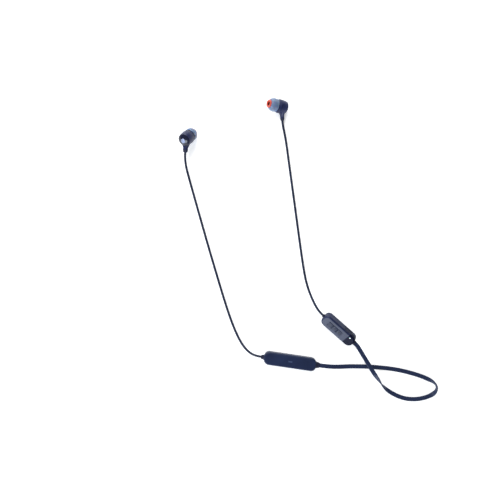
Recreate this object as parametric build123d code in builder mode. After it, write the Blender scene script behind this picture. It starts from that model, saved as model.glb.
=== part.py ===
from build123d import *
import os
from math import cos, pi, radians, sin, tan

# Wireless in-ear earphones on a neck cord, lying on a flat surface at z = 0.
# Two earbuds, two round leads, a remote module, a battery module and one ribbon lead.
# Millimetres, +Z up, origin under the middle of the buds and modules.

# Earbud, along its own axis from the point where the stem's axis crosses it (+ is towards the tip)
BUD_RADIUS = 6.3
CAP_RIM_RADIUS = 5.75
BUD_WALL = 0.8
REAR_END = -5.6
SEAM = 1.0
SPIGOT_LENGTH = 0.8
SPIGOT_WALL = 0.8
SHOULDER = 2.6
SHOULDER_RADIUS = 5.9
NOZZLE_ROOT = 4.6
NOZZLE_ROOT_RADIUS = 3.3
NOZZLE_RADIUS = 2.45
NOZZLE_LIP_RADIUS = 2.6
NOZZLE_BORE = 1.7
NOZZLE_LENGTH = 3.8
MESH_RADIUS = 2.0
MESH_THICKNESS = 0.3
CAP_CROWN = 1.9
CAP_PLUG = 0.8
INLAY_RADIUS = 2.2
INLAY_THICKNESS = 0.4
DOT_RADIUS = 0.75
DOT_DEPTH = 0.3
DOT_ANGLE = 48

# Ear tip: soft core tube and thin flange
TIP_RADIUS = 6.05
TIP_LENGTH = 7.9
TIP_CORE_RADIUS = 3.5
TIP_SOUND_HOLE = 2.0
TIP_SKIRT = 0.6
TIP_SETBACK = 0.3
TIP_OVERLAP = 1.1
TIP_NOSE = 1.4
TIP_GRIP_GAP = 0.05

# Stem and strain relief under each bud
STEM_STATION = -1.8
STEM_ANGLE = 110
STEM_ROOT = 4.6
STEM_NECK = 8.4
STEM_WIDTH = 4.9
STEM_DEPTH = 3.6
STEM_FLARE = (1.9, 0.3)
STEM_END = 10.0
RELIEF_END = 12.6
STEM_BORE = 1.25
RELIEF_BORE = 0.9

# Driver
DRIVER_RADIUS = 4.5
DRIVER_BACK = -1.0
DRIVER_FRONT = 1.6
YOKE_RADIUS = 3.7
YOKE_BACK = -1.6
YOKE_WALL = 0.5
MAGNET_RADIUS = 2.3
COIL_RADIUS = 2.95
COIL_WALL = 0.35
CONE_RADIUS = 3.55
CONE_FOIL = 0.15
CONE_SEAT = 1.0
CONE_DOME = 0.35
LEAD_START = 4.4
LEAD_RADIUS = 0.2

# Remote and battery modules share one cross section
MODULE_WIDTH = 12.0
MODULE_HEIGHT = 8.0
MODULE_CORNER = 4.8
MODULE_EDGE = 1.5
MODULE_WALL = 1.0
LIP_HEIGHT = 0.7
LIP_THICKNESS = 0.45
RELIEF_ANCHOR = 1.1
RELIEF_FLANGE = 0.9
REMOTE_LENGTH = 36.0
BATTERY_LENGTH = 48.5
BOARD_TOP = -1.1
BOARD_THICKNESS = 0.8
POST_RADIUS = 0.8

# Keys
KEY_CENTRE = -3.6
KEY_PITCH = 5.2
KEY_WIDTH = 4.6
KEY_LENGTH = 4.9
KEY_PROUD = 0.35
KEY_TRAVEL = 0.25
KEY_GAP = 0.1
KEY_POST_RADIUS = 0.8
KEY_BAR = 0.55
SWITCH_SIZE = 2.8
SWITCH_HEIGHT = 1.0
MARK_SIZE = 1.6
MARK_STROKE = 0.4
MARK_DEPTH = 0.15

# Light guide and microphone, as along and across places in the remote
GUIDE_PLACE = (11.9, 3.4)
GUIDE_RADIUS = 0.65
MIC_PLACE = (13.4, -1.8)

# Charging socket behind its hinged flap
SOCKET_CENTRE = 7.2
SOCKET_WIDTH = 7.4
SOCKET_HEIGHT = 2.5
SOCKET_DEPTH = 4.4
FLAP_LENGTH = 9.2
FLAP_HEIGHT = 4.4
FLAP_THICKNESS = 0.75
FLAP_GAP = 0.1
FLAP_PIN_RADIUS = 0.25
FLAP_PIN_REACH = 0.5

# Microphone, status light and socket shell
MIC_SIZE = (1.9, 2.8)
MIC_HEIGHT = 1.0
MIC_HOLE_RADIUS = 0.4
DIODE_SIZE = (1.0, 1.6)
DIODE_HEIGHT = 0.6
GUIDE_PROUD = 0.15
SOCKET_WALL = 0.3
SOCKET_BACK = 0.8
TONGUE = (3.7, 0.5)

# Strain reliefs: width and height at the wall and at the tip, and reach
ROUND_ROOT = (3.6, 3.4)
ROUND_TIP = (3.0, 3.0)
ROUND_REACH = 1.2
RIBBON_ROOT = (5.4, 3.0)
RIBBON_TIP = (4.8, 2.2)
RIBBON_REACH = 1.6
BATTERY_ROUND_ROOT = (4.8, 4.4)
BATTERY_ROUND_TIP = (3.8, 3.6)
BATTERY_ROUND_REACH = 2.6
BATTERY_RIBBON_ROOT = (6.2, 3.6)
BATTERY_RIBBON_TIP = (4.8, 2.4)
BATTERY_RIBBON_REACH = 3.2
CORE_BORE = 0.4
CORE_PITCH = 1.0

# Boards and battery
BOARD_SIZE = (29.0, 9.0)
BOARD_SHIFT = 0.4
CHIP_SIZE = 4.0
CHIP_PLACE = -5.0
POST_PITCH = (24.0, 6.0)
CELL_LENGTH = 33.0
CELL_CENTRE = 2.6
CELL_WIDTH = 9.4
CELL_THICKNESS = 5.1
PAD_THICKNESS = 0.5
MARK_BAR = (3.8, 1.2)
INLAY_DEPTH = 0.3
BOARD_CENTRE = -18.0
GUARD_BOARD_SIZE = (6.0, 7.6)
GUARD_BOARD_BASE = -0.4
GUARD_POST_PITCH = (4.0, 5.2)
REMOTE_LEAD_REACH = 4.4
BATTERY_LEAD_REACH = 5.0

# Running, seating and hinge clearances
SEAT_GAP = 0.05
PIN_GAP = 0.05

# Leads
CABLE_DIAMETER = 2.2
RIBBON_WIDTH = 4.0
RIBBON_THICKNESS = 1.2
CONDUCTOR_RADIUS = 0.3

# How each piece lies on the surface
REMOTE_ROLL = 35
REMOTE_HEADING = -41.5
BATTERY_HEADING = -8.4
REMOTE_PLACE = (65.1, -86.1)
BATTERY_PLACE = (20.5, -115.8)
LEFT_PLACE = (-73.55, 88.6, 11.5)
RIGHT_PLACE = (10.9, 118.0, 7.9)
LEFT_AIM = (0.400, 0.560, -0.726)
LEFT_HANG = (-0.100, -0.945, -0.313)
RIGHT_AIM = (-0.843, 0.070, 0.533)
RIGHT_HANG = (0.127, -0.916, -0.382)


def save(piece, name):
    """Label a finished piece and write its file."""
    piece.part.label = name
    export_step(piece.part, f"parts/{name}.step")


# ---------------------------------------------------------------- places

def bud_seat(place, aim, hang):
    """Plane of a bud: x towards the ear tip, y away from the stem."""
    along = Vector(*aim).normalized()
    return Plane(origin=place, x_dir=along, z_dir=Vector(*hang).cross(along))


def across_bud(seat, station):
    """Plane square to the bud's axis at a station along it."""
    return Plane(origin=seat.origin + seat.x_dir * station, x_dir=seat.y_dir, z_dir=seat.x_dir)


def stem_direction(seat):
    """Unit vector down the stem."""
    lean = radians(STEM_ANGLE)
    return seat.x_dir * cos(lean) - seat.y_dir * sin(lean)


def on_stem(seat, distance):
    """Point on the stem's axis, a distance from the bud's axis."""
    return seat.origin + seat.x_dir * STEM_STATION + stem_direction(seat) * distance


def across_stem(seat, distance):
    """Plane square to the stem, a distance from the bud's axis."""
    return Plane(origin=on_stem(seat, distance), x_dir=seat.z_dir, z_dir=stem_direction(seat))


def module_seat(place, heading, roll):
    """Middle plane of a module: x along it, z out of its face, resting on z = 0."""
    turn = radians(heading)
    tilt = radians(roll)
    along = Vector(cos(turn), sin(turn), 0)
    face = Vector(sin(turn) * sin(tilt), -cos(turn) * sin(tilt), cos(tilt))
    rise = (MODULE_WIDTH / 2 - MODULE_EDGE) * sin(tilt)
    rise += (MODULE_HEIGHT / 2 - MODULE_EDGE) * cos(tilt) + MODULE_EDGE
    return Plane(origin=(place[0], place[1], rise), x_dir=along, z_dir=face)


def across_module(seat, station):
    """Plane square to the module's length at a station along it."""
    return Plane(origin=seat.origin + seat.x_dir * station, x_dir=seat.y_dir, z_dir=seat.x_dir)


def on_module(seat, along, across, out):
    """Point in a module's own coordinates."""
    return seat.origin + seat.x_dir * along + seat.y_dir * across + seat.z_dir * out


# ---------------------------------------------------------------- earbud shells

def dome_middle(rim, crown):
    """Halfway point of a dome's arc, centred on the axis, from a rim point to its crown."""
    height = crown - rim[0]
    sphere = (rim[1] ** 2 + height**2) / (2 * height)
    return (crown - sphere + (1 if height > 0 else -1) * (sphere**2 - rim[1] ** 2 / 4) ** 0.5, rim[1] / 2)


def front_housing(seat):
    """Front shell of a bud: spigot, shoulder, nozzle and its lip, hollow for the driver."""
    nozzle_end = NOZZLE_ROOT + NOZZLE_LENGTH
    spigot_radius = BUD_RADIUS - BUD_WALL - SEAT_GAP
    driver_bore = DRIVER_RADIUS + SEAT_GAP
    driver_stop = DRIVER_FRONT + SEAT_GAP
    with BuildPart() as shell:
        with BuildSketch(seat):
            with BuildLine():
                seam_swell = (SEAM + 0.9, BUD_RADIUS - 0.08)
                ThreePointArc((SEAM, BUD_RADIUS), seam_swell, (SHOULDER, SHOULDER_RADIUS))
                Line((SHOULDER, SHOULDER_RADIUS), (NOZZLE_ROOT - 0.3, NOZZLE_ROOT_RADIUS + 0.4))
                Line((NOZZLE_ROOT - 0.3, NOZZLE_ROOT_RADIUS + 0.4), (NOZZLE_ROOT, NOZZLE_ROOT_RADIUS))
                Polyline(
                    (NOZZLE_ROOT, NOZZLE_ROOT_RADIUS),
                    (NOZZLE_ROOT, NOZZLE_RADIUS),
                    (nozzle_end - 0.8, NOZZLE_RADIUS),
                    (nozzle_end - 0.7, NOZZLE_LIP_RADIUS),
                    (nozzle_end - 0.2, NOZZLE_LIP_RADIUS),
                    (nozzle_end, NOZZLE_RADIUS),
                    (nozzle_end, MESH_RADIUS),
                    (nozzle_end - MESH_THICKNESS - SEAT_GAP, MESH_RADIUS),
                    (nozzle_end - MESH_THICKNESS - SEAT_GAP, NOZZLE_BORE),
                    (NOZZLE_ROOT - BUD_WALL, NOZZLE_BORE),
                    (driver_stop + 0.3, DRIVER_RADIUS - 0.6),
                    (driver_stop, DRIVER_RADIUS - 0.6),
                    (driver_stop, driver_bore),
                    (SEAM - SPIGOT_LENGTH, driver_bore),
                    (SEAM - SPIGOT_LENGTH, spigot_radius),
                    (SEAM, spigot_radius),
                    (SEAM, BUD_RADIUS),
                )
            make_face()
        revolve(axis=Axis(seat.origin, seat.x_dir))
        with BuildSketch(dot_plane(seat)):
            Circle(DOT_RADIUS + SEAT_GAP)
        extrude(amount=2 * DOT_DEPTH, mode=Mode.SUBTRACT)
    return shell


def dot_plane(seat):
    """Plane at the floor of the channel dot's pocket, on the cone ahead of the shoulder."""
    run = NOZZLE_ROOT - 0.3 - SHOULDER
    drop = SHOULDER_RADIUS - NOZZLE_ROOT_RADIUS - 0.4
    turn = radians(DOT_ANGLE)
    radial = seat.y_dir * cos(turn) + seat.z_dir * sin(turn)
    outward = (seat.x_dir * drop + radial * run).normalized()
    middle = seat.origin + seat.x_dir * (SHOULDER + run / 2) + radial * (SHOULDER_RADIUS - drop / 2)
    return Plane(origin=middle - outward * DOT_DEPTH, z_dir=outward)


def channel_dot(seat):
    """Small raised dot that marks the channel, in its pocket in the front shell."""
    with BuildPart() as dot:
        with BuildSketch(dot_plane(seat).offset(SEAT_GAP)):
            Circle(DOT_RADIUS)
        extrude(amount=DOT_DEPTH)
        fillet(dot.edges().sort_by(Axis(dot_plane(seat).origin, dot_plane(seat).z_dir))[-1], 0.12)
    return dot


def rear_housing(seat):
    """Rear shell of a bud with the neck that carries the strain relief."""
    with BuildPart() as shell:
        with BuildSketch(seat):
            with BuildLine():
                Line((REAR_END, 0), (REAR_END, CAP_RIM_RADIUS))
                ThreePointArc((REAR_END, CAP_RIM_RADIUS), (-2.0, BUD_RADIUS - 0.08), (SEAM, BUD_RADIUS))
                Polyline((SEAM, BUD_RADIUS), (SEAM, 0), (REAR_END, 0))
            make_face()
        revolve(axis=Axis(seat.origin, seat.x_dir))
        with BuildSketch(across_stem(seat, STEM_ROOT)):
            Ellipse(STEM_WIDTH / 2 + STEM_FLARE[0], STEM_DEPTH / 2 + STEM_FLARE[1])
        with BuildSketch(across_stem(seat, STEM_NECK)):
            Ellipse(STEM_WIDTH / 2, STEM_DEPTH / 2)
        loft()
        with BuildSketch(across_stem(seat, STEM_NECK)):
            Ellipse(STEM_WIDTH / 2, STEM_DEPTH / 2)
        extrude(amount=STEM_END - STEM_NECK)
        with BuildSketch(across_bud(seat, REAR_END)):
            Circle(BUD_RADIUS - BUD_WALL)
        extrude(amount=SEAM - REAR_END, mode=Mode.SUBTRACT)
        with BuildSketch(across_stem(seat, STEM_ROOT - 0.6)):
            Circle(STEM_BORE)
        extrude(amount=STEM_END - STEM_ROOT + 0.6, mode=Mode.SUBTRACT)
        with BuildSketch(across_bud(seat, REAR_END)):
            Circle(CAP_RIM_RADIUS + SEAT_GAP)
        extrude(amount=-CAP_CROWN, mode=Mode.SUBTRACT)
    return shell


def end_cap(seat):
    """Crowned cap pressed into the back of a bud, with a shallow round pocket."""
    plug = BUD_RADIUS - BUD_WALL - SEAT_GAP
    crown = REAR_END - CAP_CROWN
    floor = crown + INLAY_THICKNESS
    front = REAR_END + CAP_PLUG
    rim = (REAR_END, CAP_RIM_RADIUS)
    with BuildPart() as cap:
        with BuildSketch(seat):
            with BuildLine():
                Polyline((crown, 0), (front, 0), (front, plug), (REAR_END, plug), rim)
                ThreePointArc(rim, dome_middle(rim, crown), (crown, 0))
            make_face()
        revolve(axis=Axis(seat.origin, seat.x_dir))
        with BuildSketch(across_bud(seat, REAR_END - 0.2)):
            Circle(plug - BUD_WALL)
        extrude(amount=1.0, mode=Mode.SUBTRACT)
        with BuildSketch(across_bud(seat, crown)):
            Circle(INLAY_RADIUS + SEAT_GAP)
        extrude(amount=floor - crown, mode=Mode.SUBTRACT)
    return cap


def cap_inlay(seat):
    """Plain polished disc in the cap's pocket."""
    crown = REAR_END - CAP_CROWN
    with BuildPart() as disc:
        with BuildSketch(across_bud(seat, crown)):
            Circle(INLAY_RADIUS)
        extrude(amount=INLAY_THICKNESS)
        chamfer(disc.edges().sort_by(Axis(seat.origin, seat.x_dir))[0], 0.12)
    return disc


def nozzle_mesh(seat):
    """Fine mesh disc that closes the nozzle."""
    with BuildPart() as mesh:
        with BuildSketch(across_bud(seat, NOZZLE_ROOT + NOZZLE_LENGTH - MESH_THICKNESS)):
            Circle(MESH_RADIUS - SEAT_GAP)
        extrude(amount=MESH_THICKNESS)
    return mesh


# ---------------------------------------------------------------- ear tip

def ear_tip_core(seat):
    """Soft tube that grips the nozzle and stands out in a rounded nose with the sound hole."""
    back = NOZZLE_ROOT + TIP_SETBACK
    front = back + TIP_LENGTH
    stop = NOZZLE_ROOT + NOZZLE_LENGTH + 0.5
    grip = NOZZLE_LIP_RADIUS + TIP_GRIP_GAP
    side = (front - 0.5, TIP_CORE_RADIUS)
    nose = (front, TIP_CORE_RADIUS - 0.5)
    hole = (front - 0.3, TIP_SOUND_HOLE)
    with BuildPart() as core:
        with BuildSketch(seat):
            with BuildLine():
                Polyline((back, grip), (back, TIP_CORE_RADIUS), side)
                ThreePointArc(side, (front - 0.15, TIP_CORE_RADIUS - 0.15), nose)
                Polyline(nose, (front, TIP_SOUND_HOLE + 0.3), hole, (stop, TIP_SOUND_HOLE))
                Polyline((stop, TIP_SOUND_HOLE), (stop, grip), (back, grip))
            make_face()
        revolve(axis=Axis(seat.origin, seat.x_dir))
    return core


def ear_tip_flange(seat):
    """Thin domed flange that folds back over the core and the front shell's cone."""
    hem = NOZZLE_ROOT + TIP_SETBACK - TIP_OVERLAP
    crown = NOZZLE_ROOT + TIP_SETBACK + TIP_LENGTH - TIP_NOSE
    hub = TIP_CORE_RADIUS + SEAT_GAP
    inner = TIP_RADIUS - TIP_SKIRT
    tip = (crown, hub + 0.05)
    shoulder = (hem + 3.6, TIP_RADIUS)
    outer_hem = (hem + 0.3, TIP_RADIUS - 0.1)
    inner_hem = (hem + 0.3, inner - 0.1)
    web = (crown - 1.95, hub)
    with BuildPart() as flange:
        with BuildSketch(seat):
            with BuildLine():
                ThreePointArc(tip, (crown - 1.35, TIP_RADIUS - 0.85), shoulder)
                Line(shoulder, outer_hem)
                ThreePointArc(outer_hem, (hem, (TIP_RADIUS + inner) / 2 - 0.1), inner_hem)
                Line(inner_hem, (shoulder[0] - 0.2, inner))
                ThreePointArc((shoulder[0] - 0.2, inner), (web[0] - 0.45, inner - 0.75), web)
                Polyline(web, (crown, hub), tip)
            make_face()
        revolve(axis=Axis(seat.origin, seat.x_dir))
    return flange


# ---------------------------------------------------------------- driver

def driver_basket(seat):
    """Ring that carries the motor and is seated against the front shell."""
    with BuildPart() as basket:
        with BuildSketch(across_bud(seat, DRIVER_BACK)):
            Circle(DRIVER_RADIUS)
            Circle(YOKE_RADIUS + SEAT_GAP, mode=Mode.SUBTRACT)
        extrude(amount=DRIVER_FRONT - DRIVER_BACK)
    return basket


def driver_yoke(seat):
    """Steel cup around the magnet."""
    with BuildPart() as yoke:
        with BuildSketch(across_bud(seat, YOKE_BACK)):
            Circle(YOKE_RADIUS)
        extrude(amount=YOKE_WALL)
        with BuildSketch(across_bud(seat, YOKE_BACK + YOKE_WALL)):
            Circle(YOKE_RADIUS)
            Circle(YOKE_RADIUS - YOKE_WALL, mode=Mode.SUBTRACT)
        extrude(amount=1.5)
    return yoke


def driver_magnet(seat):
    """Disc magnet with its top plate."""
    with BuildPart() as magnet:
        with BuildSketch(across_bud(seat, YOKE_BACK + YOKE_WALL)):
            Circle(MAGNET_RADIUS)
        extrude(amount=1.1)
        with BuildSketch(across_bud(seat, YOKE_BACK + YOKE_WALL + 1.1)):
            Circle(MAGNET_RADIUS + 0.1)
        extrude(amount=0.4)
    return magnet


def voice_coil(seat):
    """Wound tube in the magnet's gap."""
    with BuildPart() as coil:
        with BuildSketch(across_bud(seat, CONE_SEAT - 1.3)):
            Circle(COIL_RADIUS)
            Circle(COIL_RADIUS - COIL_WALL, mode=Mode.SUBTRACT)
        extrude(amount=1.3)
    return coil


def diaphragm(seat):
    """Domed foil glued to the coil."""
    glue_radius = COIL_RADIUS - COIL_WALL
    back_rim = (CONE_SEAT, glue_radius)
    front_rim = (CONE_SEAT + CONE_FOIL, glue_radius)
    back_crown = CONE_SEAT + CONE_DOME
    front_crown = back_crown + CONE_FOIL
    with BuildPart() as foil:
        with BuildSketch(seat):
            with BuildLine():
                Polyline(back_rim, (CONE_SEAT, CONE_RADIUS), (CONE_SEAT + CONE_FOIL, CONE_RADIUS), front_rim)
                ThreePointArc(front_rim, dome_middle(front_rim, front_crown), (front_crown, 0))
                Line((front_crown, 0), (back_crown, 0))
                ThreePointArc((back_crown, 0), dome_middle(back_rim, back_crown), back_rim)
            make_face()
        revolve(axis=Axis(seat.origin, seat.x_dir))
    return foil


def driver_leads(seat):
    """Two conductors from the driver down through the stem."""
    with BuildPart() as leads:
        with BuildSketch(across_stem(seat, LEAD_START)):
            with GridLocations(4 * LEAD_RADIUS, 0, 2, 1):
                Circle(LEAD_RADIUS)
        extrude(amount=RELIEF_END - LEAD_START)
    return leads


def bud_relief(seat):
    """Rubber sleeve below the stem, plugged into the stem's bore."""
    with BuildPart() as relief:
        with BuildSketch(across_stem(seat, STEM_END)):
            Ellipse(STEM_WIDTH / 2 + 0.05, STEM_DEPTH / 2 + 0.05)
        with BuildSketch(across_stem(seat, RELIEF_END)):
            Ellipse(STEM_WIDTH / 2 - 0.05, STEM_DEPTH / 2 - 0.05)
        loft()
        chamfer(relief.edges().sort_by(Axis(seat.origin, stem_direction(seat)))[-1], 0.4)
        with BuildSketch(across_stem(seat, STEM_END)):
            Circle(STEM_BORE - SEAT_GAP)
        extrude(amount=-2.5)
        with BuildSketch(across_stem(seat, RELIEF_END)):
            Circle(RELIEF_BORE)
        extrude(amount=-6, mode=Mode.SUBTRACT)
    return relief


def make_bud(side, place, aim, hang):
    """All the pieces of one earbud except its lead."""
    seat = bud_seat(place, aim, hang)
    makers = {
        "ear_tip_core": ear_tip_core,
        "ear_tip_flange": ear_tip_flange,
        "nozzle_mesh": nozzle_mesh,
        "front_housing": front_housing,
        "channel_dot": channel_dot,
        "rear_housing": rear_housing,
        "end_cap": end_cap,
        "cap_inlay": cap_inlay,
        "driver_basket": driver_basket,
        "driver_yoke": driver_yoke,
        "driver_magnet": driver_magnet,
        "voice_coil": voice_coil,
        "diaphragm": diaphragm,
        "driver_leads": driver_leads,
        "bud_relief": bud_relief,
    }
    for name, maker in makers.items():
        save(maker(seat), f"{side}_{name}")
    return seat


# ---------------------------------------------------------------- modules

def half_shell(seat, length, up):
    """Open shell of a module: the top one has the rebate, the bottom one the lip."""
    half = MODULE_HEIGHT / 2
    sign = 1 if up else -1
    inside = (length - 2 * MODULE_WALL, MODULE_WIDTH - 2 * MODULE_WALL, MODULE_CORNER - MODULE_WALL)
    ledge = LIP_THICKNESS + (SEAT_GAP if up else 0)
    with BuildPart() as shell:
        with BuildSketch(seat):
            RectangleRounded(length, MODULE_WIDTH, MODULE_CORNER)
        extrude(amount=sign * half)
        face_edges = shell.faces().sort_by(Axis(seat.origin, seat.z_dir))[-1 if up else 0].edges()
        fillet(face_edges, MODULE_EDGE)
        with BuildSketch(seat):
            RectangleRounded(*inside)
        extrude(amount=sign * (half - MODULE_WALL), mode=Mode.SUBTRACT)
        if up:
            with BuildSketch(seat):
                RectangleRounded(inside[0] + 2 * ledge, inside[1] + 2 * ledge, inside[2] + ledge)
            extrude(amount=LIP_HEIGHT + SEAT_GAP, mode=Mode.SUBTRACT)
        else:
            with BuildSketch(seat):
                RectangleRounded(inside[0] + 2 * ledge, inside[1] + 2 * ledge, inside[2] + ledge)
                RectangleRounded(*inside, mode=Mode.SUBTRACT)
            extrude(amount=LIP_HEIGHT)
    return shell


def neck_opening(seat, length, outward, root):
    """Tool that opens an end wall for a strain relief's neck."""
    with BuildPart() as opening:
        with BuildSketch(across_module(seat, outward * (length / 2 + 1))):
            Ellipse(root[0] / 2 + SEAT_GAP, root[1] / 2 + SEAT_GAP)
        extrude(amount=-outward * (MODULE_WALL + 2.0 + SEAT_GAP))
    return opening.part


def module_relief(seat, station, outward, reach, root, tip):
    """Rubber relief: flange inside the end wall, neck through it, tapered nose outside."""
    neck = MODULE_WALL + RELIEF_ANCHOR
    inner = station - outward * neck
    with BuildPart() as relief:
        with BuildSketch(across_module(seat, inner)):
            Ellipse(root[0] / 2 + 0.7, root[1] / 2 + 0.4)
        extrude(amount=-outward * RELIEF_FLANGE)
        with BuildSketch(across_module(seat, inner)):
            Ellipse(root[0] / 2, root[1] / 2)
        extrude(amount=outward * neck)
        with BuildSketch(across_module(seat, station)):
            Ellipse(root[0] / 2, root[1] / 2)
        with BuildSketch(across_module(seat, station + outward * reach)):
            Ellipse(tip[0] / 2, tip[1] / 2)
        loft()
        with BuildSketch(across_module(seat, station + outward * reach)):
            with GridLocations(CORE_PITCH, 0, 2, 1):
                Circle(CORE_BORE)
        extrude(amount=-outward * (reach + neck + RELIEF_FLANGE), mode=Mode.SUBTRACT)
    return relief


# ---------------------------------------------------------------- remote


def key_stations():
    """Places of the three keys along the remote."""
    return [KEY_CENTRE - KEY_PITCH, KEY_CENTRE, KEY_CENTRE + KEY_PITCH]


def flap_recess(seat):
    """Tool for the side recess of the flap, its window onto the socket and its pin holes."""
    face = MODULE_WIDTH / 2
    depth = FLAP_THICKNESS + 0.05
    with BuildPart() as recess:
        with BuildSketch(seat.offset(-FLAP_HEIGHT / 2 - FLAP_GAP)):
            with Locations((SOCKET_CENTRE, face - depth / 2 + 0.5)):
                Rectangle(FLAP_LENGTH + 2 * FLAP_GAP, depth + 1.0)
        extrude(amount=FLAP_HEIGHT + 2 * FLAP_GAP)
        with BuildSketch(seat.offset(socket_middle() - SOCKET_HEIGHT / 2 - FLAP_GAP)):
            with Locations((SOCKET_CENTRE, face - 1.0)):
                Rectangle(SOCKET_WIDTH + 2 * FLAP_GAP, 2.0)
        extrude(amount=SOCKET_HEIGHT + 2 * FLAP_GAP)
        with BuildSketch(seat.offset(-FLAP_HEIGHT / 2 - FLAP_PIN_REACH - SEAT_GAP)):
            with Locations(flap_pin_place()):
                Circle(FLAP_PIN_RADIUS + PIN_GAP)
        extrude(amount=FLAP_HEIGHT + 2 * FLAP_PIN_REACH + 2 * SEAT_GAP)
    return recess.part


def socket_middle():
    """Height of the socket's centre above the parting plane."""
    return BOARD_TOP + SOCKET_HEIGHT / 2


def flap_pin_place():
    """Flap pin's place in the module's plane: along and across."""
    return (SOCKET_CENTRE - FLAP_LENGTH / 2 + 0.4, MODULE_WIDTH / 2 - 0.4)


def remote_openings(seat):
    """Tools that every remote shell is cut with: both necks and the flap's recess."""
    round_neck = neck_opening(seat, REMOTE_LENGTH, -1, ROUND_ROOT)
    ribbon_neck = neck_opening(seat, REMOTE_LENGTH, 1, RIBBON_ROOT)
    return [round_neck, ribbon_neck, flap_recess(seat)]


def remote_top_shell(seat):
    """Face shell with the keys' opening, the light guide's hole and the microphone's hole."""
    inner_face = MODULE_HEIGHT / 2 - MODULE_WALL
    with BuildPart() as shell:
        add(half_shell(seat, REMOTE_LENGTH, True).part)
        with BuildSketch(seat.offset(inner_face - 0.5)):
            with Locations((KEY_CENTRE, 0)):
                Rectangle(2 * KEY_PITCH + KEY_LENGTH + 2 * KEY_GAP, KEY_WIDTH + 2 * KEY_GAP)
            with Locations(GUIDE_PLACE):
                Circle(GUIDE_RADIUS + SEAT_GAP)
            with Locations(MIC_PLACE):
                Circle(MIC_HOLE_RADIUS)
        extrude(amount=MODULE_WALL + 1.0, mode=Mode.SUBTRACT)
        add(remote_openings(seat), mode=Mode.SUBTRACT)
    return shell


def remote_bottom_shell(seat):
    """Back shell with four posts that carry the circuit board."""
    floor = -MODULE_HEIGHT / 2 + MODULE_WALL
    with BuildPart() as shell:
        add(half_shell(seat, REMOTE_LENGTH, False).part)
        with BuildSketch(seat.offset(floor)):
            with GridLocations(*POST_PITCH, 2, 2):
                Circle(POST_RADIUS)
        extrude(amount=BOARD_TOP - BOARD_THICKNESS - SEAT_GAP - floor)
        add(remote_openings(seat), mode=Mode.SUBTRACT)
    return shell


def key(seat, station, mark):
    """Key with its retaining bars, switch post and one sunk mark."""
    inner_face = MODULE_HEIGHT / 2 - MODULE_WALL
    top = MODULE_HEIGHT / 2 + KEY_PROUD
    underside = inner_face - SEAT_GAP - KEY_BAR
    foot = BOARD_TOP + SWITCH_HEIGHT + 0.2 + KEY_TRAVEL + SEAT_GAP
    with BuildPart() as cap:
        with BuildSketch(seat.offset(underside)):
            with Locations((station, 0)):
                Rectangle(KEY_LENGTH, KEY_WIDTH)
        extrude(amount=top - underside)
        crown = cap.faces().sort_by(Axis(seat.origin, seat.z_dir))[-1]
        fillet(crown.edges(), 0.25)
        with BuildSketch(seat.offset(underside)):
            with Locations((station, 0)):
                Rectangle(KEY_LENGTH - 0.6, KEY_WIDTH + 1.2)
        extrude(amount=KEY_BAR)
        with BuildSketch(seat.offset(foot)):
            with Locations((station, 0)):
                Circle(KEY_POST_RADIUS)
        extrude(amount=underside - foot)
        with BuildSketch(seat.offset(top - MARK_DEPTH)):
            with Locations((station, 0)):
                if mark == "ring":
                    Circle(MARK_SIZE / 2)
                    Circle(MARK_SIZE / 2 - MARK_STROKE, mode=Mode.SUBTRACT)
                else:
                    Rectangle(MARK_SIZE, MARK_STROKE)
                if mark == "plus":
                    Rectangle(MARK_STROKE, MARK_SIZE)
        extrude(amount=MARK_DEPTH, mode=Mode.SUBTRACT)
    return cap


def circuit_board(seat):
    """Remote's circuit board."""
    with BuildPart() as board:
        with BuildSketch(seat.offset(BOARD_TOP - BOARD_THICKNESS)):
            with Locations((BOARD_SHIFT, 0)):
                RectangleRounded(*BOARD_SIZE, 2.5)
        extrude(amount=BOARD_THICKNESS)
    return board


def radio_chip(seat):
    """Radio chip under the board."""
    with BuildPart() as chip:
        with BuildSketch(seat.offset(BOARD_TOP - BOARD_THICKNESS)):
            with Locations((CHIP_PLACE, 0)):
                Rectangle(CHIP_SIZE, CHIP_SIZE)
        extrude(amount=-0.8)
    return chip


def tact_switches(seat):
    """Three tact switches under the keys."""
    with BuildPart() as switches:
        with BuildSketch(seat.offset(BOARD_TOP)):
            with Locations(*[(station, 0) for station in key_stations()]):
                RectangleRounded(SWITCH_SIZE, SWITCH_SIZE, 0.3)
        extrude(amount=SWITCH_HEIGHT)
        with BuildSketch(seat.offset(BOARD_TOP + SWITCH_HEIGHT)):
            with Locations(*[(station, 0) for station in key_stations()]):
                Circle(KEY_POST_RADIUS)
        extrude(amount=0.2)
    return switches


def microphone(seat):
    """Microphone can on the board."""
    with BuildPart() as can:
        with BuildSketch(seat.offset(BOARD_TOP)):
            with Locations(MIC_PLACE):
                Rectangle(*MIC_SIZE)
        extrude(amount=MIC_HEIGHT)
    return can


def status_light(seat):
    """Light-emitting diode under the guide."""
    with BuildPart() as diode:
        with BuildSketch(seat.offset(BOARD_TOP)):
            with Locations(GUIDE_PLACE):
                Rectangle(*DIODE_SIZE)
        extrude(amount=DIODE_HEIGHT)
    return diode


def light_guide(seat):
    """Clear rod from the diode to the face, with a domed end."""
    base = BOARD_TOP + DIODE_HEIGHT + SEAT_GAP
    with BuildPart() as guide:
        with BuildSketch(seat.offset(base)):
            with Locations(GUIDE_PLACE):
                Circle(GUIDE_RADIUS)
        extrude(amount=MODULE_HEIGHT / 2 + GUIDE_PROUD - base)
        fillet(guide.edges().sort_by(Axis(seat.origin, seat.z_dir))[-1], 0.2)
    return guide


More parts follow.
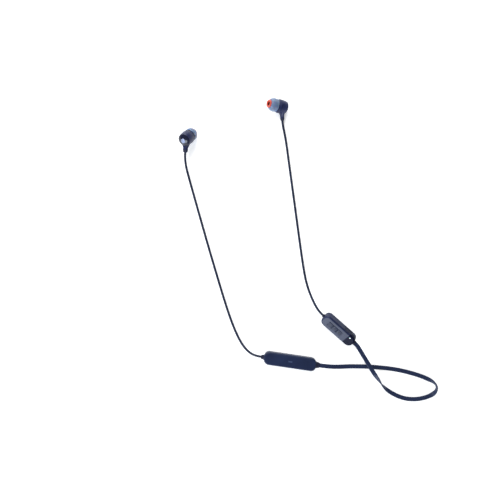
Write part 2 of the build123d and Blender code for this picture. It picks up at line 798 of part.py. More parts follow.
def charging_socket(seat):
    """Metal receptacle with a flat mouth and its contact tongue."""
    front = MODULE_WIDTH / 2 - FLAP_THICKNESS - 0.15
    middle = socket_middle()
    mouth = Plane(origin=on_module(seat, SOCKET_CENTRE, front, middle), x_dir=seat.x_dir, z_dir=seat.y_dir)
    with BuildPart() as socket:
        with BuildSketch(mouth):
            RectangleRounded(SOCKET_WIDTH, SOCKET_HEIGHT, 0.5)
        extrude(amount=-SOCKET_DEPTH)
        with BuildSketch(mouth):
            RectangleRounded(SOCKET_WIDTH - 2 * SOCKET_WALL, SOCKET_HEIGHT - 2 * SOCKET_WALL, 0.35)
        extrude(amount=-SOCKET_DEPTH + SOCKET_BACK, mode=Mode.SUBTRACT)
        with BuildSketch(mouth.offset(-SOCKET_BACK)):
            with Locations((0, 0.1)):
                Rectangle(*TONGUE)
        extrude(amount=-SOCKET_DEPTH + 2 * SOCKET_BACK)
    return socket


def port_flap(seat):
    """Flap over the socket with its two pins and a finger notch."""
    pin = flap_pin_place()
    outer = MODULE_WIDTH / 2
    end = SOCKET_CENTRE + FLAP_LENGTH / 2
    with BuildPart() as flap:
        with BuildSketch(seat.offset(-FLAP_HEIGHT / 2)):
            with BuildLine():
                Line(pin_edge(pin, 0, 0.35), (end, outer))
                Line((end, outer), (end, outer - FLAP_THICKNESS))
                Line((end, outer - FLAP_THICKNESS), pin_edge(pin, 0, -0.35))
                ThreePointArc(pin_edge(pin, 0, -0.35), pin_edge(pin, -0.35, 0), pin_edge(pin, 0, 0.35))
            make_face()
        extrude(amount=FLAP_HEIGHT)
        with BuildSketch(seat.offset(-FLAP_HEIGHT / 2 - FLAP_PIN_REACH)):
            with Locations(pin):
                Circle(FLAP_PIN_RADIUS)
        extrude(amount=FLAP_HEIGHT + 2 * FLAP_PIN_REACH)
        notch = Plane(origin=on_module(seat, end - 0.9, outer, 0), x_dir=seat.x_dir, z_dir=seat.y_dir)
        with BuildSketch(notch):
            SlotOverall(2.0, 0.6, rotation=90)
        extrude(amount=-0.25, mode=Mode.SUBTRACT)
    return flap


def pin_edge(pin, along, across):
    """Point beside the flap's pin."""
    return (pin[0] + along, pin[1] + across)


def remote_leads(seat):
    """Conductors from both reliefs to the board's ends."""
    with BuildPart() as leads:
        for end in (-1, 1):
            with BuildSketch(across_module(seat, end * (REMOTE_LENGTH / 2 + 0.6))):
                with GridLocations(CORE_PITCH, 0, 2, 1):
                    Circle(CONDUCTOR_RADIUS)
            extrude(amount=-end * REMOTE_LEAD_REACH)
    return leads


def make_remote(seat):
    """All the remote's pieces."""
    save(remote_top_shell(seat), "remote_top_shell")
    save(remote_bottom_shell(seat), "remote_bottom_shell")
    names = ("volume_up_key", "play_key", "volume_down_key")
    marks = ("plus", "ring", "minus")
    for name, mark, station in zip(names, marks, key_stations()):
        save(key(seat, station, mark), name)
    save(circuit_board(seat), "remote_circuit_board")
    save(radio_chip(seat), "radio_chip")
    save(tact_switches(seat), "tact_switches")
    save(microphone(seat), "microphone")
    save(status_light(seat), "status_light")
    save(light_guide(seat), "light_guide")
    save(charging_socket(seat), "charging_socket")
    save(port_flap(seat), "port_flap")
    save(remote_leads(seat), "remote_leads")
    half = REMOTE_LENGTH / 2
    save(module_relief(seat, -half, -1, ROUND_REACH, ROUND_ROOT, ROUND_TIP), "remote_cable_relief")
    save(module_relief(seat, half, 1, RIBBON_REACH, RIBBON_ROOT, RIBBON_TIP), "remote_ribbon_relief")


# ---------------------------------------------------------------- battery


def battery_openings(seat):
    """Tools that both battery shells are cut with: the two necks."""
    round_neck = neck_opening(seat, BATTERY_LENGTH, -1, BATTERY_ROUND_ROOT)
    ribbon_neck = neck_opening(seat, BATTERY_LENGTH, 1, BATTERY_RIBBON_ROOT)
    return [round_neck, ribbon_neck]


def battery_top_shell(seat):
    """Face shell of the battery module with the inlay's pocket."""
    with BuildPart() as shell:
        add(half_shell(seat, BATTERY_LENGTH, True).part)
        with BuildSketch(seat.offset(MODULE_HEIGHT / 2 - INLAY_DEPTH)):
            SlotOverall(MARK_BAR[0] + 2 * SEAT_GAP, MARK_BAR[1] + 2 * SEAT_GAP)
        extrude(amount=2 * INLAY_DEPTH, mode=Mode.SUBTRACT)
        add(battery_openings(seat), mode=Mode.SUBTRACT)
    return shell


def battery_bottom_shell(seat):
    """Back shell of the battery module with the posts of the protection board."""
    floor = -MODULE_HEIGHT / 2 + MODULE_WALL
    with BuildPart() as shell:
        add(half_shell(seat, BATTERY_LENGTH, False).part)
        with BuildSketch(seat.offset(floor)):
            with Locations((BOARD_CENTRE, 0)):
                with GridLocations(*GUARD_POST_PITCH, 2, 2):
                    Circle(POST_RADIUS)
        extrude(amount=GUARD_BOARD_BASE - SEAT_GAP - floor)
        add(battery_openings(seat), mode=Mode.SUBTRACT)
    return shell


def face_inlay(seat):
    """Plain pill-shaped inlay in the battery module's face."""
    with BuildPart() as pill:
        with BuildSketch(seat.offset(MODULE_HEIGHT / 2 - INLAY_DEPTH)):
            SlotOverall(*MARK_BAR)
        extrude(amount=INLAY_DEPTH + 0.03)
    return pill


def battery_cell(seat):
    """Rechargeable pouch cell on its foam pad."""
    floor = -MODULE_HEIGHT / 2 + MODULE_WALL + PAD_THICKNESS + SEAT_GAP
    with BuildPart() as cell:
        with BuildSketch(seat.offset(floor)):
            with Locations((CELL_CENTRE, 0)):
                RectangleRounded(CELL_LENGTH, CELL_WIDTH, 1.0)
        extrude(amount=CELL_THICKNESS)
        fillet(cell.edges().filter_by(Axis(seat.origin, seat.x_dir)), 0.8)
    return cell


def foam_pad(seat):
    """Foam pad between the cell and the back shell."""
    floor = -MODULE_HEIGHT / 2 + MODULE_WALL
    with BuildPart() as pad:
        with BuildSketch(seat.offset(floor)):
            with Locations((CELL_CENTRE, 0)):
                Rectangle(CELL_LENGTH - 6.0, CELL_WIDTH - 3.0)
        extrude(amount=PAD_THICKNESS)
    return pad


def protection_board(seat):
    """Small board that guards the cell, with its chip."""
    with BuildPart() as board:
        with BuildSketch(seat.offset(GUARD_BOARD_BASE)):
            with Locations((BOARD_CENTRE, 0)):
                Rectangle(*GUARD_BOARD_SIZE)
        extrude(amount=BOARD_THICKNESS)
        with BuildSketch(seat.offset(0.4)):
            with Locations((BOARD_CENTRE - 0.6, 0)):
                Rectangle(2.0, 3.0)
        extrude(amount=0.8)
    return board


def battery_leads(seat):
    """Two nickel tabs from the board to the cell, and conductors from the reliefs."""
    gap_start = BOARD_CENTRE + 1.6
    cell_end = CELL_CENTRE - CELL_LENGTH / 2 - 0.1
    with BuildPart() as leads:
        with BuildSketch(seat.offset(0.4)):
            with Locations(((gap_start + cell_end) / 2, -2.5), ((gap_start + cell_end) / 2, 2.5)):
                Rectangle(cell_end - gap_start, 1.6)
        extrude(amount=0.2)
        for end in (-1, 1):
            with BuildSketch(across_module(seat, end * (BATTERY_LENGTH / 2 + 1.8))):
                with GridLocations(CORE_PITCH, 0, 2, 1):
                    Circle(CONDUCTOR_RADIUS)
            extrude(amount=-end * BATTERY_LEAD_REACH)
    return leads


def make_battery(seat):
    """All the battery module's pieces."""
    save(battery_top_shell(seat), "battery_top_shell")
    save(battery_bottom_shell(seat), "battery_bottom_shell")
    save(face_inlay(seat), "battery_face_inlay")
    save(battery_cell(seat), "battery_cell")
    save(foam_pad(seat), "battery_foam_pad")
    save(protection_board(seat), "battery_protection_board")
    save(battery_leads(seat), "battery_leads")
    half = BATTERY_LENGTH / 2
    round_relief = module_relief(seat, -half, -1, BATTERY_ROUND_REACH, BATTERY_ROUND_ROOT, BATTERY_ROUND_TIP)
    save(round_relief, "battery_cable_relief")
    root, tip = BATTERY_RIBBON_ROOT, BATTERY_RIBBON_TIP
    ribbon_relief = module_relief(seat, half, 1, BATTERY_RIBBON_REACH, root, tip)
    save(ribbon_relief, "battery_ribbon_relief")


# ---------------------------------------------------------------- leads

# Routes run between the two exits, which are worked out from the pieces they leave.
LEFT_ROUTE = [
    (-75.9, 69.3, 6.35),
    (-75.55, 64.6, 4.1),
    (-74.5, 58.9, 1.95),
    (-71.8, 49.0, 1.12),
    (-66.3, 29.3, 1.1),
    (-56.7, -4.5, 1.1),
    (-46.9, -37.9, 1.1),
    (-38.3, -66.3, 1.1),
    (-31.3, -86.1, 1.1),
    (-24.1, -100.9, 1.1),
    (-17.1, -108.5, 2.3),
]
RIGHT_ROUTE = [
    (14.09, 102.61, 1.29),
    (14.52, 100.1, 1.11),
    (15.6, 95.1, 1.1),
    (17.4, 85.1, 1.1),
    (20.0, 65.3, 1.1),
    (24.9, 29.6, 1.1),
    (30.0, -8.5, 1.1),
    (33.6, -33.1, 1.1),
    (36.3, -45.7, 1.6),
    (39.8, -55.7, 3.2),
    (43.4, -63.9, 5.2),
]
RIBBON_ROUTE = [
    (66.5, -121.7, 1.8),
    (77.5, -121.4, 0.65),
    (96.5, -121.8, 0.65),
    (118.5, -124.3, 0.65),
    (136.5, -128.5, 0.65),
    (148.5, -132.7, 0.65),
    (154.8, -135.1, 0.65),
    (157.2, -140.5, 0.65),
    (154.7, -145.9, 0.65),
    (148.0, -149.1, 0.65),
    (138.5, -152.3, 0.65),
    (126.5, -151.7, 0.65),
    (114.5, -146.1, 0.65),
    (106.7, -140.1, 0.8),
    (101.9, -133.0, 2.2),
    (97.1, -126.1, 3.8),
    (92.7, -118.1, 4.6),
    (87.9, -110.1, 5.6),
]


def bend_radii(route):
    """Arc at each inner point, as large as its two runs allow."""
    radii = []
    for before, here, after in zip(route, route[1:], route[2:]):
        run_in = here - before
        run_out = after - here
        half_turn = radians(run_in.get_angle(run_out) / 2)
        radii.append(0.45 * min(run_in.length, run_out.length) / tan(half_turn))
    return radii


def lead(name, route, draw_section):
    """Sweep a lead's plain solid along runs joined by arcs, and report its bends."""
    points = [Vector(*point) for point in route]
    radii = bend_radii(points)
    with BuildLine() as path:
        FilletPolyline(*points, radius=radii)
    with BuildPart() as tube:
        with BuildSketch(Plane(origin=points[0], x_dir=(0, 0, 1), z_dir=points[1] - points[0])) as section:
            draw_section()
        sweep(path=path.wires()[0])
    length = path.wires()[0].length
    ratio = tube.part.volume / (section.sketch.area * length)
    print(name, "length", round(length, 1), "radii", [round(radius, 1) for radius in radii])
    print(name, "volume over section x length", round(ratio, 4))
    save(tube, name)


def round_section():
    """Section of a round lead."""
    Circle(CABLE_DIAMETER / 2)


def ribbon_section():
    """Section of the ribbon lead, standing in the sweep's plane."""
    Rectangle(RIBBON_THICKNESS, RIBBON_WIDTH)


os.makedirs("parts", exist_ok=True)
left_bud = make_bud("left", LEFT_PLACE, LEFT_AIM, LEFT_HANG)
right_bud = make_bud("right", RIGHT_PLACE, RIGHT_AIM, RIGHT_HANG)
remote = module_seat(REMOTE_PLACE, REMOTE_HEADING, REMOTE_ROLL)
battery = module_seat(BATTERY_PLACE, BATTERY_HEADING, 0)
make_remote(remote)
make_battery(battery)

left_down = stem_direction(left_bud)
right_down = stem_direction(right_bud)
left_exit = on_stem(left_bud, RELIEF_END)
right_exit = on_stem(right_bud, RELIEF_END)
battery_round_exit = on_module(battery, -BATTERY_LENGTH / 2 - BATTERY_ROUND_REACH, 0, 0)
battery_ribbon_exit = on_module(battery, BATTERY_LENGTH / 2 + BATTERY_RIBBON_REACH, 0, 0)
remote_round_exit = on_module(remote, -REMOTE_LENGTH / 2 - ROUND_REACH, 0, 0)
remote_ribbon_exit = on_module(remote, REMOTE_LENGTH / 2 + RIBBON_REACH, 0, 0)

left_route = [left_exit, left_exit + left_down * 3, *LEFT_ROUTE]
left_route += [battery_round_exit - battery.x_dir * 4.5, battery_round_exit]
lead("left_cable", left_route, round_section)
right_route = [right_exit, right_exit + right_down * 1.6, *RIGHT_ROUTE]
right_route += [remote_round_exit - remote.x_dir * 4.5, remote_round_exit]
lead("right_cable", right_route, round_section)
ribbon_route = [battery_ribbon_exit, battery_ribbon_exit + battery.x_dir * 8.0, *RIBBON_ROUTE]
ribbon_route += [remote_ribbon_exit + remote.x_dir * 5.0, remote_ribbon_exit]
lead("ribbon_cable", ribbon_route, ribbon_section)
for name, route in (("left", left_route), ("right", right_route), ("ribbon", ribbon_route)):
    print(name, "route", [tuple(round(value, 2) for value in Vector(*point)) for point in route])
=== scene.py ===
import logging
import math
from contextlib import contextmanager
from dataclasses import dataclass
from enum import Enum
from typing import Callable, ClassVar, Iterator

import bmesh
import bpy
from mathutils import Matrix, Vector


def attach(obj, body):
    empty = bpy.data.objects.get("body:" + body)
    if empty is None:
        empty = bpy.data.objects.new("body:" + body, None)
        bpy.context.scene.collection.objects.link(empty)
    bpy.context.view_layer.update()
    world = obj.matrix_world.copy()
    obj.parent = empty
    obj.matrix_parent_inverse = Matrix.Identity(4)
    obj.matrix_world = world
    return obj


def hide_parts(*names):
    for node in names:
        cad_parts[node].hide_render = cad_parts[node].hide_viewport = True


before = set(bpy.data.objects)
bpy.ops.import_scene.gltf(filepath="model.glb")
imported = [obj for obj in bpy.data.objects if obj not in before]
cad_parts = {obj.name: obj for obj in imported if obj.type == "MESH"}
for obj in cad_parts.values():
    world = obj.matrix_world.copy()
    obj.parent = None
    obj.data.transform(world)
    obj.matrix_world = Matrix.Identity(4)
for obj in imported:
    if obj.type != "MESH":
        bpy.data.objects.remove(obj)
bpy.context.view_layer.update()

log = logging.getLogger("earphones")

MM = 0.001
# Metres under which two points are one, and how squarely a face has to look one way.
TOUCHING = 1e-6
FACING = 0.9
# Scales of the patterns that several finishes share, in cycles per metre.
COLOUR_DRIFT = 90
HANDLING = 700
SPARK_GRAIN = 5200

Colour = tuple[float, float, float]
Shade = tuple[int, int, int]
Point = tuple[float, float, float]
Ring = tuple[float, float, float]
Range = tuple[float, float]
Piece = bpy.types.Object
Socket = bpy.types.NodeSocket


def in_metres(point: Point) -> Point:
    """Point in metres from one in millimetres."""
    return tuple(value * MM for value in point)


class Side(Enum):
    """Which ear a bud is for."""

    LEFT = "left"
    RIGHT = "right"


class Mark(Enum):
    """Plain mark on a key."""

    PLUS = "volume_up"
    RING = "play"
    MINUS = "volume_down"


class Space(Enum):
    """Coordinates that a finish is laid out in."""

    OBJECT = "Object"
    SURFACE = "UV"


# ---- finishes


def linear(colour: Shade) -> Colour:
    """Linear values of a colour given in display values from 0 to 255."""
    shares = [value / 255 for value in colour]
    return tuple(
        share / 12.92 if share <= 0.04045 else ((share + 0.055) / 1.055) ** 2.4
        for share in shares
    )


class Nodes:
    """Node tree of one material, with the few nodes that the finishes are made from."""

    def __init__(self, name: str, space: Space = Space.OBJECT) -> None:
        """Starts a tree with a shader and an output.

        Args:
            name: the material's name.
            space: the coordinates that its patterns use.
        """
        self.material = bpy.data.materials.new(name)
        self.material.use_nodes = True
        self.tree = self.material.node_tree
        self.shader = self.tree.nodes["Principled BSDF"]
        self.place = self.add("TexCoord").outputs[space.value]

    def feed(self, node: bpy.types.Node, **inputs: object) -> None:
        """Links or sets a node's inputs.

        Args:
            node: the node.
            inputs: a socket or a constant for each input, with underscores for spaces.
        """
        for key, value in inputs.items():
            target = node.inputs[key.replace("_", " ")]
            if isinstance(value, Socket):
                self.tree.links.new(value, target)
            else:
                target.default_value = value

    def add(self, kind: str, **inputs: object) -> bpy.types.Node:
        """Adds a node of a kind and feeds its inputs."""
        node = self.tree.nodes.new("ShaderNode" + kind)
        self.feed(node, **inputs)
        return node

    def surface(self, **inputs: object) -> None:
        """Links or sets the shader's own inputs."""
        self.feed(self.shader, **inputs)

    def stretched(self, *scale: float) -> Socket:
        """Coordinates scaled along x, y and z."""
        return self.add("Mapping", Vector=self.place, Scale=scale).outputs["Vector"]

    def noise(
        self,
        scale: float,
        detail: float = 3.0,
        roughness: float = 0.55,
        place: Socket | None = None,
    ) -> Socket:
        """Noise value.

        Args:
            scale: cycles per metre.
            detail: octaves.
            roughness: weight of the small octaves.
            place: coordinates, where they aren't the plain ones.

        Returns:
            The noise's factor socket.
        """
        where = place or self.place
        node = self.add("TexNoise", Vector=where, Scale=scale, Detail=detail, Roughness=roughness)
        return node.outputs["Fac"]

    def cells(self, scale: float) -> Socket:
        """Distance to the nearest edge in a field of cells, given in cells per metre."""
        node = self.add("TexVoronoi", Vector=self.place, Scale=scale)
        node.feature = "DISTANCE_TO_EDGE"
        return node.outputs["Distance"]

    def waves(self, scale: float, axis: str, warp: float) -> Socket:
        """Parallel bands.

        Args:
            scale: bands per metre, roughly.
            axis: the axis they follow one another along.
            warp: how wavy they are.

        Returns:
            The band value socket.
        """
        node = self.add("TexWave", Vector=self.place, Scale=scale, Distortion=warp)
        node.bands_direction = axis
        return node.outputs["Fac"]

    def ramp(self, value: Socket, *stops: tuple[float, Colour]) -> Socket:
        """Colour from a value.

        Args:
            value: the value read.
            stops: two places and their colours.

        Returns:
            The colour socket.
        """
        node = self.add("ValToRGB", Fac=value)
        for point, (where, colour) in zip(node.color_ramp.elements, stops):
            point.position = where
            point.color = (*colour, 1)
        return node.outputs["Color"]

    def span(self, value: Socket, low: float, high: float) -> Socket:
        """Value from 0..1 laid onto a range, low at 0 and high at 1."""
        return self.add("MapRange", Value=value, To_Min=low, To_Max=high).outputs["Result"]

    def product(self, first: Socket, second: Socket) -> Socket:
        """Product of two values."""
        node = self.tree.nodes.new("ShaderNodeMath")
        node.operation = "MULTIPLY"
        for source, target in zip((first, second), node.inputs):
            self.tree.links.new(source, target)
        return node.outputs["Value"]

    def bump(self, height: Socket, depth: float, strength: float = 1.0) -> None:
        """Raises the surface, over any relief already there.

        Args:
            height: the height value.
            depth: metres that a value of 1 stands up.
            strength: how much of it shows.
        """
        node = self.add("Bump", Height=height, Distance=depth, Strength=strength)
        below = self.shader.inputs["Normal"]
        if below.is_linked:
            self.feed(node, Normal=below.links[0].from_socket)
        self.surface(Normal=node.outputs["Normal"])


@dataclass(frozen=True)
class Finish:
    """Look of a piece: two shades, in display values, and the pattern that lays them out."""

    name: str
    light: Shade
    deep: Shade

    space: ClassVar[Space] = Space.OBJECT

    def build(self) -> bpy.types.Material:
        """Makes the material."""
        nodes = Nodes(self.name, self.space)
        self.lay(nodes)
        return nodes.material

    def shades(self, nodes: Nodes, value: Socket, low: float = 0.3, high: float = 0.7) -> Socket:
        """Colour from the deep shade at a low value to the light one at a high value."""
        return nodes.ramp(value, (low, linear(self.deep)), (high, linear(self.light)))

    def lay(self, nodes: Nodes) -> None:
        """Lays the pattern out."""
        raise NotImplementedError


@dataclass(frozen=True)
class MouldedPlastic(Finish):
    """Satin or polished moulded plastic with a fine spark grain and slow colour drift."""

    roughness: Range = (0.34, 0.44)
    grain_depth: float = 0.000004
    coat: float = 0.0
    shine: float = 0.3

    def lay(self, nodes: Nodes) -> None:
        """Lays the pattern out."""
        nodes.surface(
            Base_Color=self.shades(nodes, nodes.noise(COLOUR_DRIFT, 4), 0.32, 0.68),
            Roughness=nodes.span(nodes.noise(HANDLING, 4), *self.roughness),
            Coat_Weight=self.coat,
            Coat_Roughness=0.12,
            Specular_IOR_Level=self.shine,
        )
        nodes.bump(nodes.noise(SPARK_GRAIN, 2), self.grain_depth)


@dataclass(frozen=True)
class DarkEnded(Finish):
    """Satin plastic that turns darker beyond a line across the piece."""

    dark: Shade
    axis: Point
    start: float
    blend: float = 0.0003

    def lay(self, nodes: Nodes) -> None:
        """Lays the pattern out."""
        reach = nodes.tree.nodes.new("ShaderNodeVectorMath")
        reach.operation = "DOT_PRODUCT"
        reach.inputs[1].default_value = self.axis
        nodes.tree.links.new(nodes.place, reach.inputs[0])
        line = nodes.add("MapRange", Value=reach.outputs["Value"])
        nodes.feed(line, From_Min=self.start - self.blend, From_Max=self.start + self.blend)
        share = line.outputs["Result"]
        dark = linear(self.dark)
        paler = tuple(value * 1.3 for value in dark)
        mix = nodes.tree.nodes.new("ShaderNodeMix")
        mix.data_type = "RGBA"
        nodes.feed(
            mix,
            Factor=share,
            A=self.shades(nodes, nodes.noise(COLOUR_DRIFT, 4), 0.32, 0.68),
            B=nodes.ramp(nodes.noise(200, 3), (0.3, dark), (0.7, paler)),
        )
        nodes.surface(
            Base_Color=mix.outputs["Result"],
            Roughness=nodes.span(nodes.noise(HANDLING, 4), 0.36, 0.48),
            Specular_IOR_Level=nodes.span(share, 0.3, 0.06),
        )
        nodes.bump(nodes.noise(SPARK_GRAIN, 2), 0.000004)


@dataclass(frozen=True)
class SoftRubber(Finish):
    """Soft-touch rubber with faint blotches, dust and a matte sheen."""

    roughness: Range = (0.5, 0.66)
    sheen: float = 0.12

    def lay(self, nodes: Nodes) -> None:
        """Lays the pattern out."""
        nodes.surface(
            Base_Color=self.shades(nodes, nodes.noise(160, 5, 0.6)),
            Roughness=nodes.span(nodes.noise(900, 3), *self.roughness),
            Sheen_Weight=self.sheen,
            Sheen_Roughness=0.4,
            Specular_IOR_Level=0.3,
        )
        nodes.bump(nodes.noise(4200, 3), 0.000006)


@dataclass(frozen=True)
class CableSkin(Finish):
    """Extruded cable skin: fine lengthwise die lines and a slow change of shade along it."""

    lines: float = 9.0

    space: ClassVar[Space] = Space.SURFACE

    def lay(self, nodes: Nodes) -> None:
        """Lays the pattern out on the cord's own coordinates, along and around."""
        drift = nodes.noise(1.0, 4, 0.6, nodes.stretched(30, 1.5, 1))
        wear = nodes.noise(12, 3, 0.5, nodes.stretched(60, 3, 1))
        nodes.surface(
            Base_Color=self.shades(nodes, drift),
            Roughness=nodes.span(wear, 0.4, 0.56),
            Sheen_Weight=0.03,
            Sheen_Roughness=0.5,
            Specular_IOR_Level=0.25,
        )
        nodes.bump(nodes.waves(self.lines, "Y", 0.6), 0.00001, 0.6)
        nodes.bump(nodes.noise(1.0, 3, 0.6, nodes.stretched(2600, 60, 1)), 0.000006, 0.6)


@dataclass(frozen=True)
class Silicone(Finish):
    """Skin-soft silicone, smooth and faintly cloudy, more or less see-through."""

    clear: float = 0.0
    roughness: Range = (0.28, 0.4)

    def lay(self, nodes: Nodes) -> None:
        """Lays the pattern out."""
        nodes.surface(
            Base_Color=self.shades(nodes, nodes.noise(260, 5, 0.6)),
            Roughness=nodes.span(nodes.noise(1200, 3), *self.roughness),
            Alpha=1.0 - self.clear,
            Subsurface_Weight=0.25,
            Subsurface_Scale=0.001,
            Coat_Weight=0.25,
            Coat_Roughness=0.25,
            IOR=1.43,
        )
        nodes.bump(nodes.noise(2600, 2), 0.000003)


@dataclass(frozen=True)
class WorkedMetal(Finish):
    """Plated metal with drawn scratches across its own grain."""

    roughness: Range = (0.2, 0.34)
    stretch: float = 14
    scratch: float = 700.0

    def lay(self, nodes: Nodes) -> None:
        """Lays the pattern out."""
        lines = nodes.noise(self.scratch, 5, 0.6, nodes.stretched(1, 1, self.stretch))
        roughness = nodes.span(lines, *self.roughness)
        nodes.surface(Base_Color=self.shades(nodes, lines), Roughness=roughness, Metallic=1.0)
        nodes.bump(lines, 0.000004, 0.5)


@dataclass(frozen=True)
class PiercedMesh(Finish):
    """Fine steel grille: rows of small holes, painted near-black as painted shade for the dark
    space behind them.
    """

    pitch: float = 3600.0

    def lay(self, nodes: Nodes) -> None:
        """Lays the pattern out."""
        weave = nodes.cells(self.pitch)
        # Painted shade: the cells' middles take the near-black shade, standing for the dark seen
        # through the holes.
        holes = nodes.ramp(weave, (0.12, linear(self.light)), (0.3, linear(self.deep)))
        nodes.surface(Base_Color=holes, Roughness=nodes.span(weave, 0.25, 0.9), Metallic=0.85)
        nodes.bump(nodes.span(weave, 1, 0), 0.00004, 0.8)


@dataclass(frozen=True)
class CircuitLaminate(Finish):
    """Green solder mask with copper traces showing faintly through it."""

    def lay(self, nodes: Nodes) -> None:
        """Lays the pattern out."""
        paths = nodes.product(nodes.waves(420, "X", 2.5), nodes.waves(420, "Y", 2.5))
        nodes.surface(
            Base_Color=self.shades(nodes, paths, 0.35, 0.55),
            Roughness=nodes.span(nodes.noise(900), 0.22, 0.4),
            Coat_Weight=0.4,
            Coat_Roughness=0.15,
        )
        nodes.bump(paths, 0.00002, 0.6)


@dataclass(frozen=True)
class CrinkledFoil(Finish):
    """Thin pouch foil with soft creases."""

    metal: float = 0.9

    def lay(self, nodes: Nodes) -> None:
        """Lays the pattern out."""
        creases = nodes.noise(420, 6, 0.65)
        nodes.surface(
            Base_Color=self.shades(nodes, creases, 0.35, 0.65),
            Roughness=nodes.span(creases, 0.28, 0.46),
            Metallic=self.metal,
        )
        nodes.bump(creases, 0.00008, 0.7)


@dataclass(frozen=True)
class ClearLens(Finish):
    """Frosted clear plastic that catches the light."""

    def lay(self, nodes: Nodes) -> None:
        """Lays the pattern out."""
        haze = nodes.noise(1800, 3)
        nodes.surface(
            Base_Color=self.shades(nodes, haze),
            Roughness=nodes.span(haze, 0.12, 0.3),
            Coat_Weight=0.5,
            Coat_Roughness=0.1,
            Subsurface_Weight=0.4,
            Subsurface_Scale=0.0008,
        )
        nodes.bump(haze, 0.000004)


HOUSING = MouldedPlastic("housing_navy", (22, 32, 78), (12, 20, 56), (0.3, 0.42), coat=0.04)
CAP = MouldedPlastic("cap_dark_navy", (14, 19, 48), (7, 10, 32), (0.16, 0.26), 0.000002, 0.2)
MODULE = MouldedPlastic("module_navy", (25, 38, 70), (18, 29, 58), (0.36, 0.48), shine=0.25)
REMOTE_SHELL = DarkEnded(
    "remote_navy", (22, 33, 68), (15, 24, 54), (7, 10, 34), (0.749, -0.663, 0.0), 0.1156
)
KEY = SoftRubber("key_navy", (30, 38, 66), (22, 29, 54), (0.42, 0.55), 0.02)
INK = MouldedPlastic("mark_dark", (8, 10, 24), (4, 6, 16), (0.3, 0.45))
RUBBER = SoftRubber("rubber_navy", (16, 24, 54), (9, 14, 38), sheen=0.02)
SKIN = CableSkin("cable_navy", (20, 32, 60), (10, 18, 42))
RIBBON_SKIN = CableSkin("ribbon_navy", (28, 40, 70), (20, 30, 58), 5.0)
CORE = Silicone("silicone_orange", (206, 78, 50), (178, 52, 34), 0.0, (0.38, 0.5))
FLANGE = Silicone("silicone_smoke", (116, 134, 166), (96, 116, 150), 0.26, (0.24, 0.36))
SLEEVE = Silicone("silicone_collar", (96, 114, 146), (80, 98, 130), 0.0, (0.3, 0.42))
PLATE = WorkedMetal("plate_soft", (170, 178, 204), (134, 144, 176), (0.18, 0.28))
INLAY = MouldedPlastic("inlay_slate", (62, 76, 108), (50, 62, 94), (0.34, 0.44))
# Painted highlight: a pale dot printed on the housing as a channel dot, standing for a small glint
# on its front rim.
DOT = MouldedPlastic("glint_dot_white", (236, 238, 244), (214, 218, 228), (0.25, 0.35), coat=0.3)
STEEL = WorkedMetal("steel_plated", (196, 198, 202), (150, 152, 158))
MAGNET = WorkedMetal("magnet_nickel", (168, 168, 172), (126, 126, 132), (0.12, 0.22))
COPPER = WorkedMetal("copper_wound", (208, 122, 78), (160, 84, 50), stretch=30, scratch=1600)
# Painted shade: the near-black second shade fills the grille's painted holes.
MESH = PiercedMesh("mesh_steel", (96, 52, 46), (14, 8, 8))
FILM = CrinkledFoil("cone_film", (216, 208, 184), (186, 176, 150), 0.2)
BOARD = CircuitLaminate("board_green", (46, 120, 76), (18, 78, 50))
CHIP = MouldedPlastic("chip_black", (34, 34, 38), (20, 20, 23), (0.4, 0.6), grain_depth=0.00001)
FOIL = CrinkledFoil("cell_foil", (206, 208, 212), (168, 170, 176))
FOAM = SoftRubber("foam_grey", (74, 74, 78), (44, 44, 48), (0.8, 0.95), 0.4)
LENS = ClearLens("lens_frosted", (240, 244, 250), (212, 220, 234))
# Painted shade: darker orange for the sleeve inside the ear tip's sound hole, where shade falls.
PAINTED_BORE_SHADE = SoftRubber("bore_painted_shade", (96, 14, 10), (58, 6, 6), (0.5, 0.7), 0.0)

CAD_FINISHES: dict[Finish, tuple[str, ...]] = {
    HOUSING: ("front_housing", "rear_housing"),
    CAP: ("end_cap",),
    PLATE: ("cap_inlay",),
    # Painted highlight: the pale channel dot stands for a glint on the housing.
    DOT: ("channel_dot",),
    MESH: ("nozzle_mesh",),
    STEEL: ("driver_basket", "driver_yoke", "tact_switches", "microphone", "charging_socket"),
    MAGNET: ("driver_magnet",),
    COPPER: ("driver_leads", "voice_coil", "remote_leads", "battery_leads"),
    FILM: ("diaphragm",),
    MODULE: ("battery_top_shell", "bottom_shell"),
    REMOTE_SHELL: ("remote_top_shell",),
    INLAY: ("face_inlay",),
    BOARD: ("circuit_board", "protection_board"),
    CHIP: ("radio_chip",),
    LENS: ("light_guide", "status_light"),
    FOIL: ("battery_cell",),
    FOAM: ("foam_pad",),
}


class Palette:
    """Materials made once and handed out by finish."""

    def __init__(self) -> None:
        """Starts with nothing made."""
        self.made: dict[str, bpy.types.Material] = {}

    def dress(self, piece: Piece, finish: Finish) -> None:
        """Gives a piece its finish on every slot.

        Args:
            piece: the piece.
            finish: its finish.
        """
        if finish.name not in self.made:
            self.made[finish.name] = finish.build()
        piece.data.materials.clear()
        piece.data.materials.append(self.made[finish.name])


PALETTE = Palette()


# ---- modelling by hand


def laid(wide: Vector, side: Vector, axis: Vector, start: Vector) -> Matrix:
    """Matrix that sends a piece's x, y and z along three directions and its origin to a point."""
    axes = Matrix((wide, side, axis)).transposed().to_4x4()
    axes.translation = start
    return axes


def turned(wide: Vector, axis: Vector, start: Vector) -> Matrix:
    """Matrix that stands a turned piece along an axis, with its x square to it."""
    return laid(wide, axis.cross(wide), axis, start)


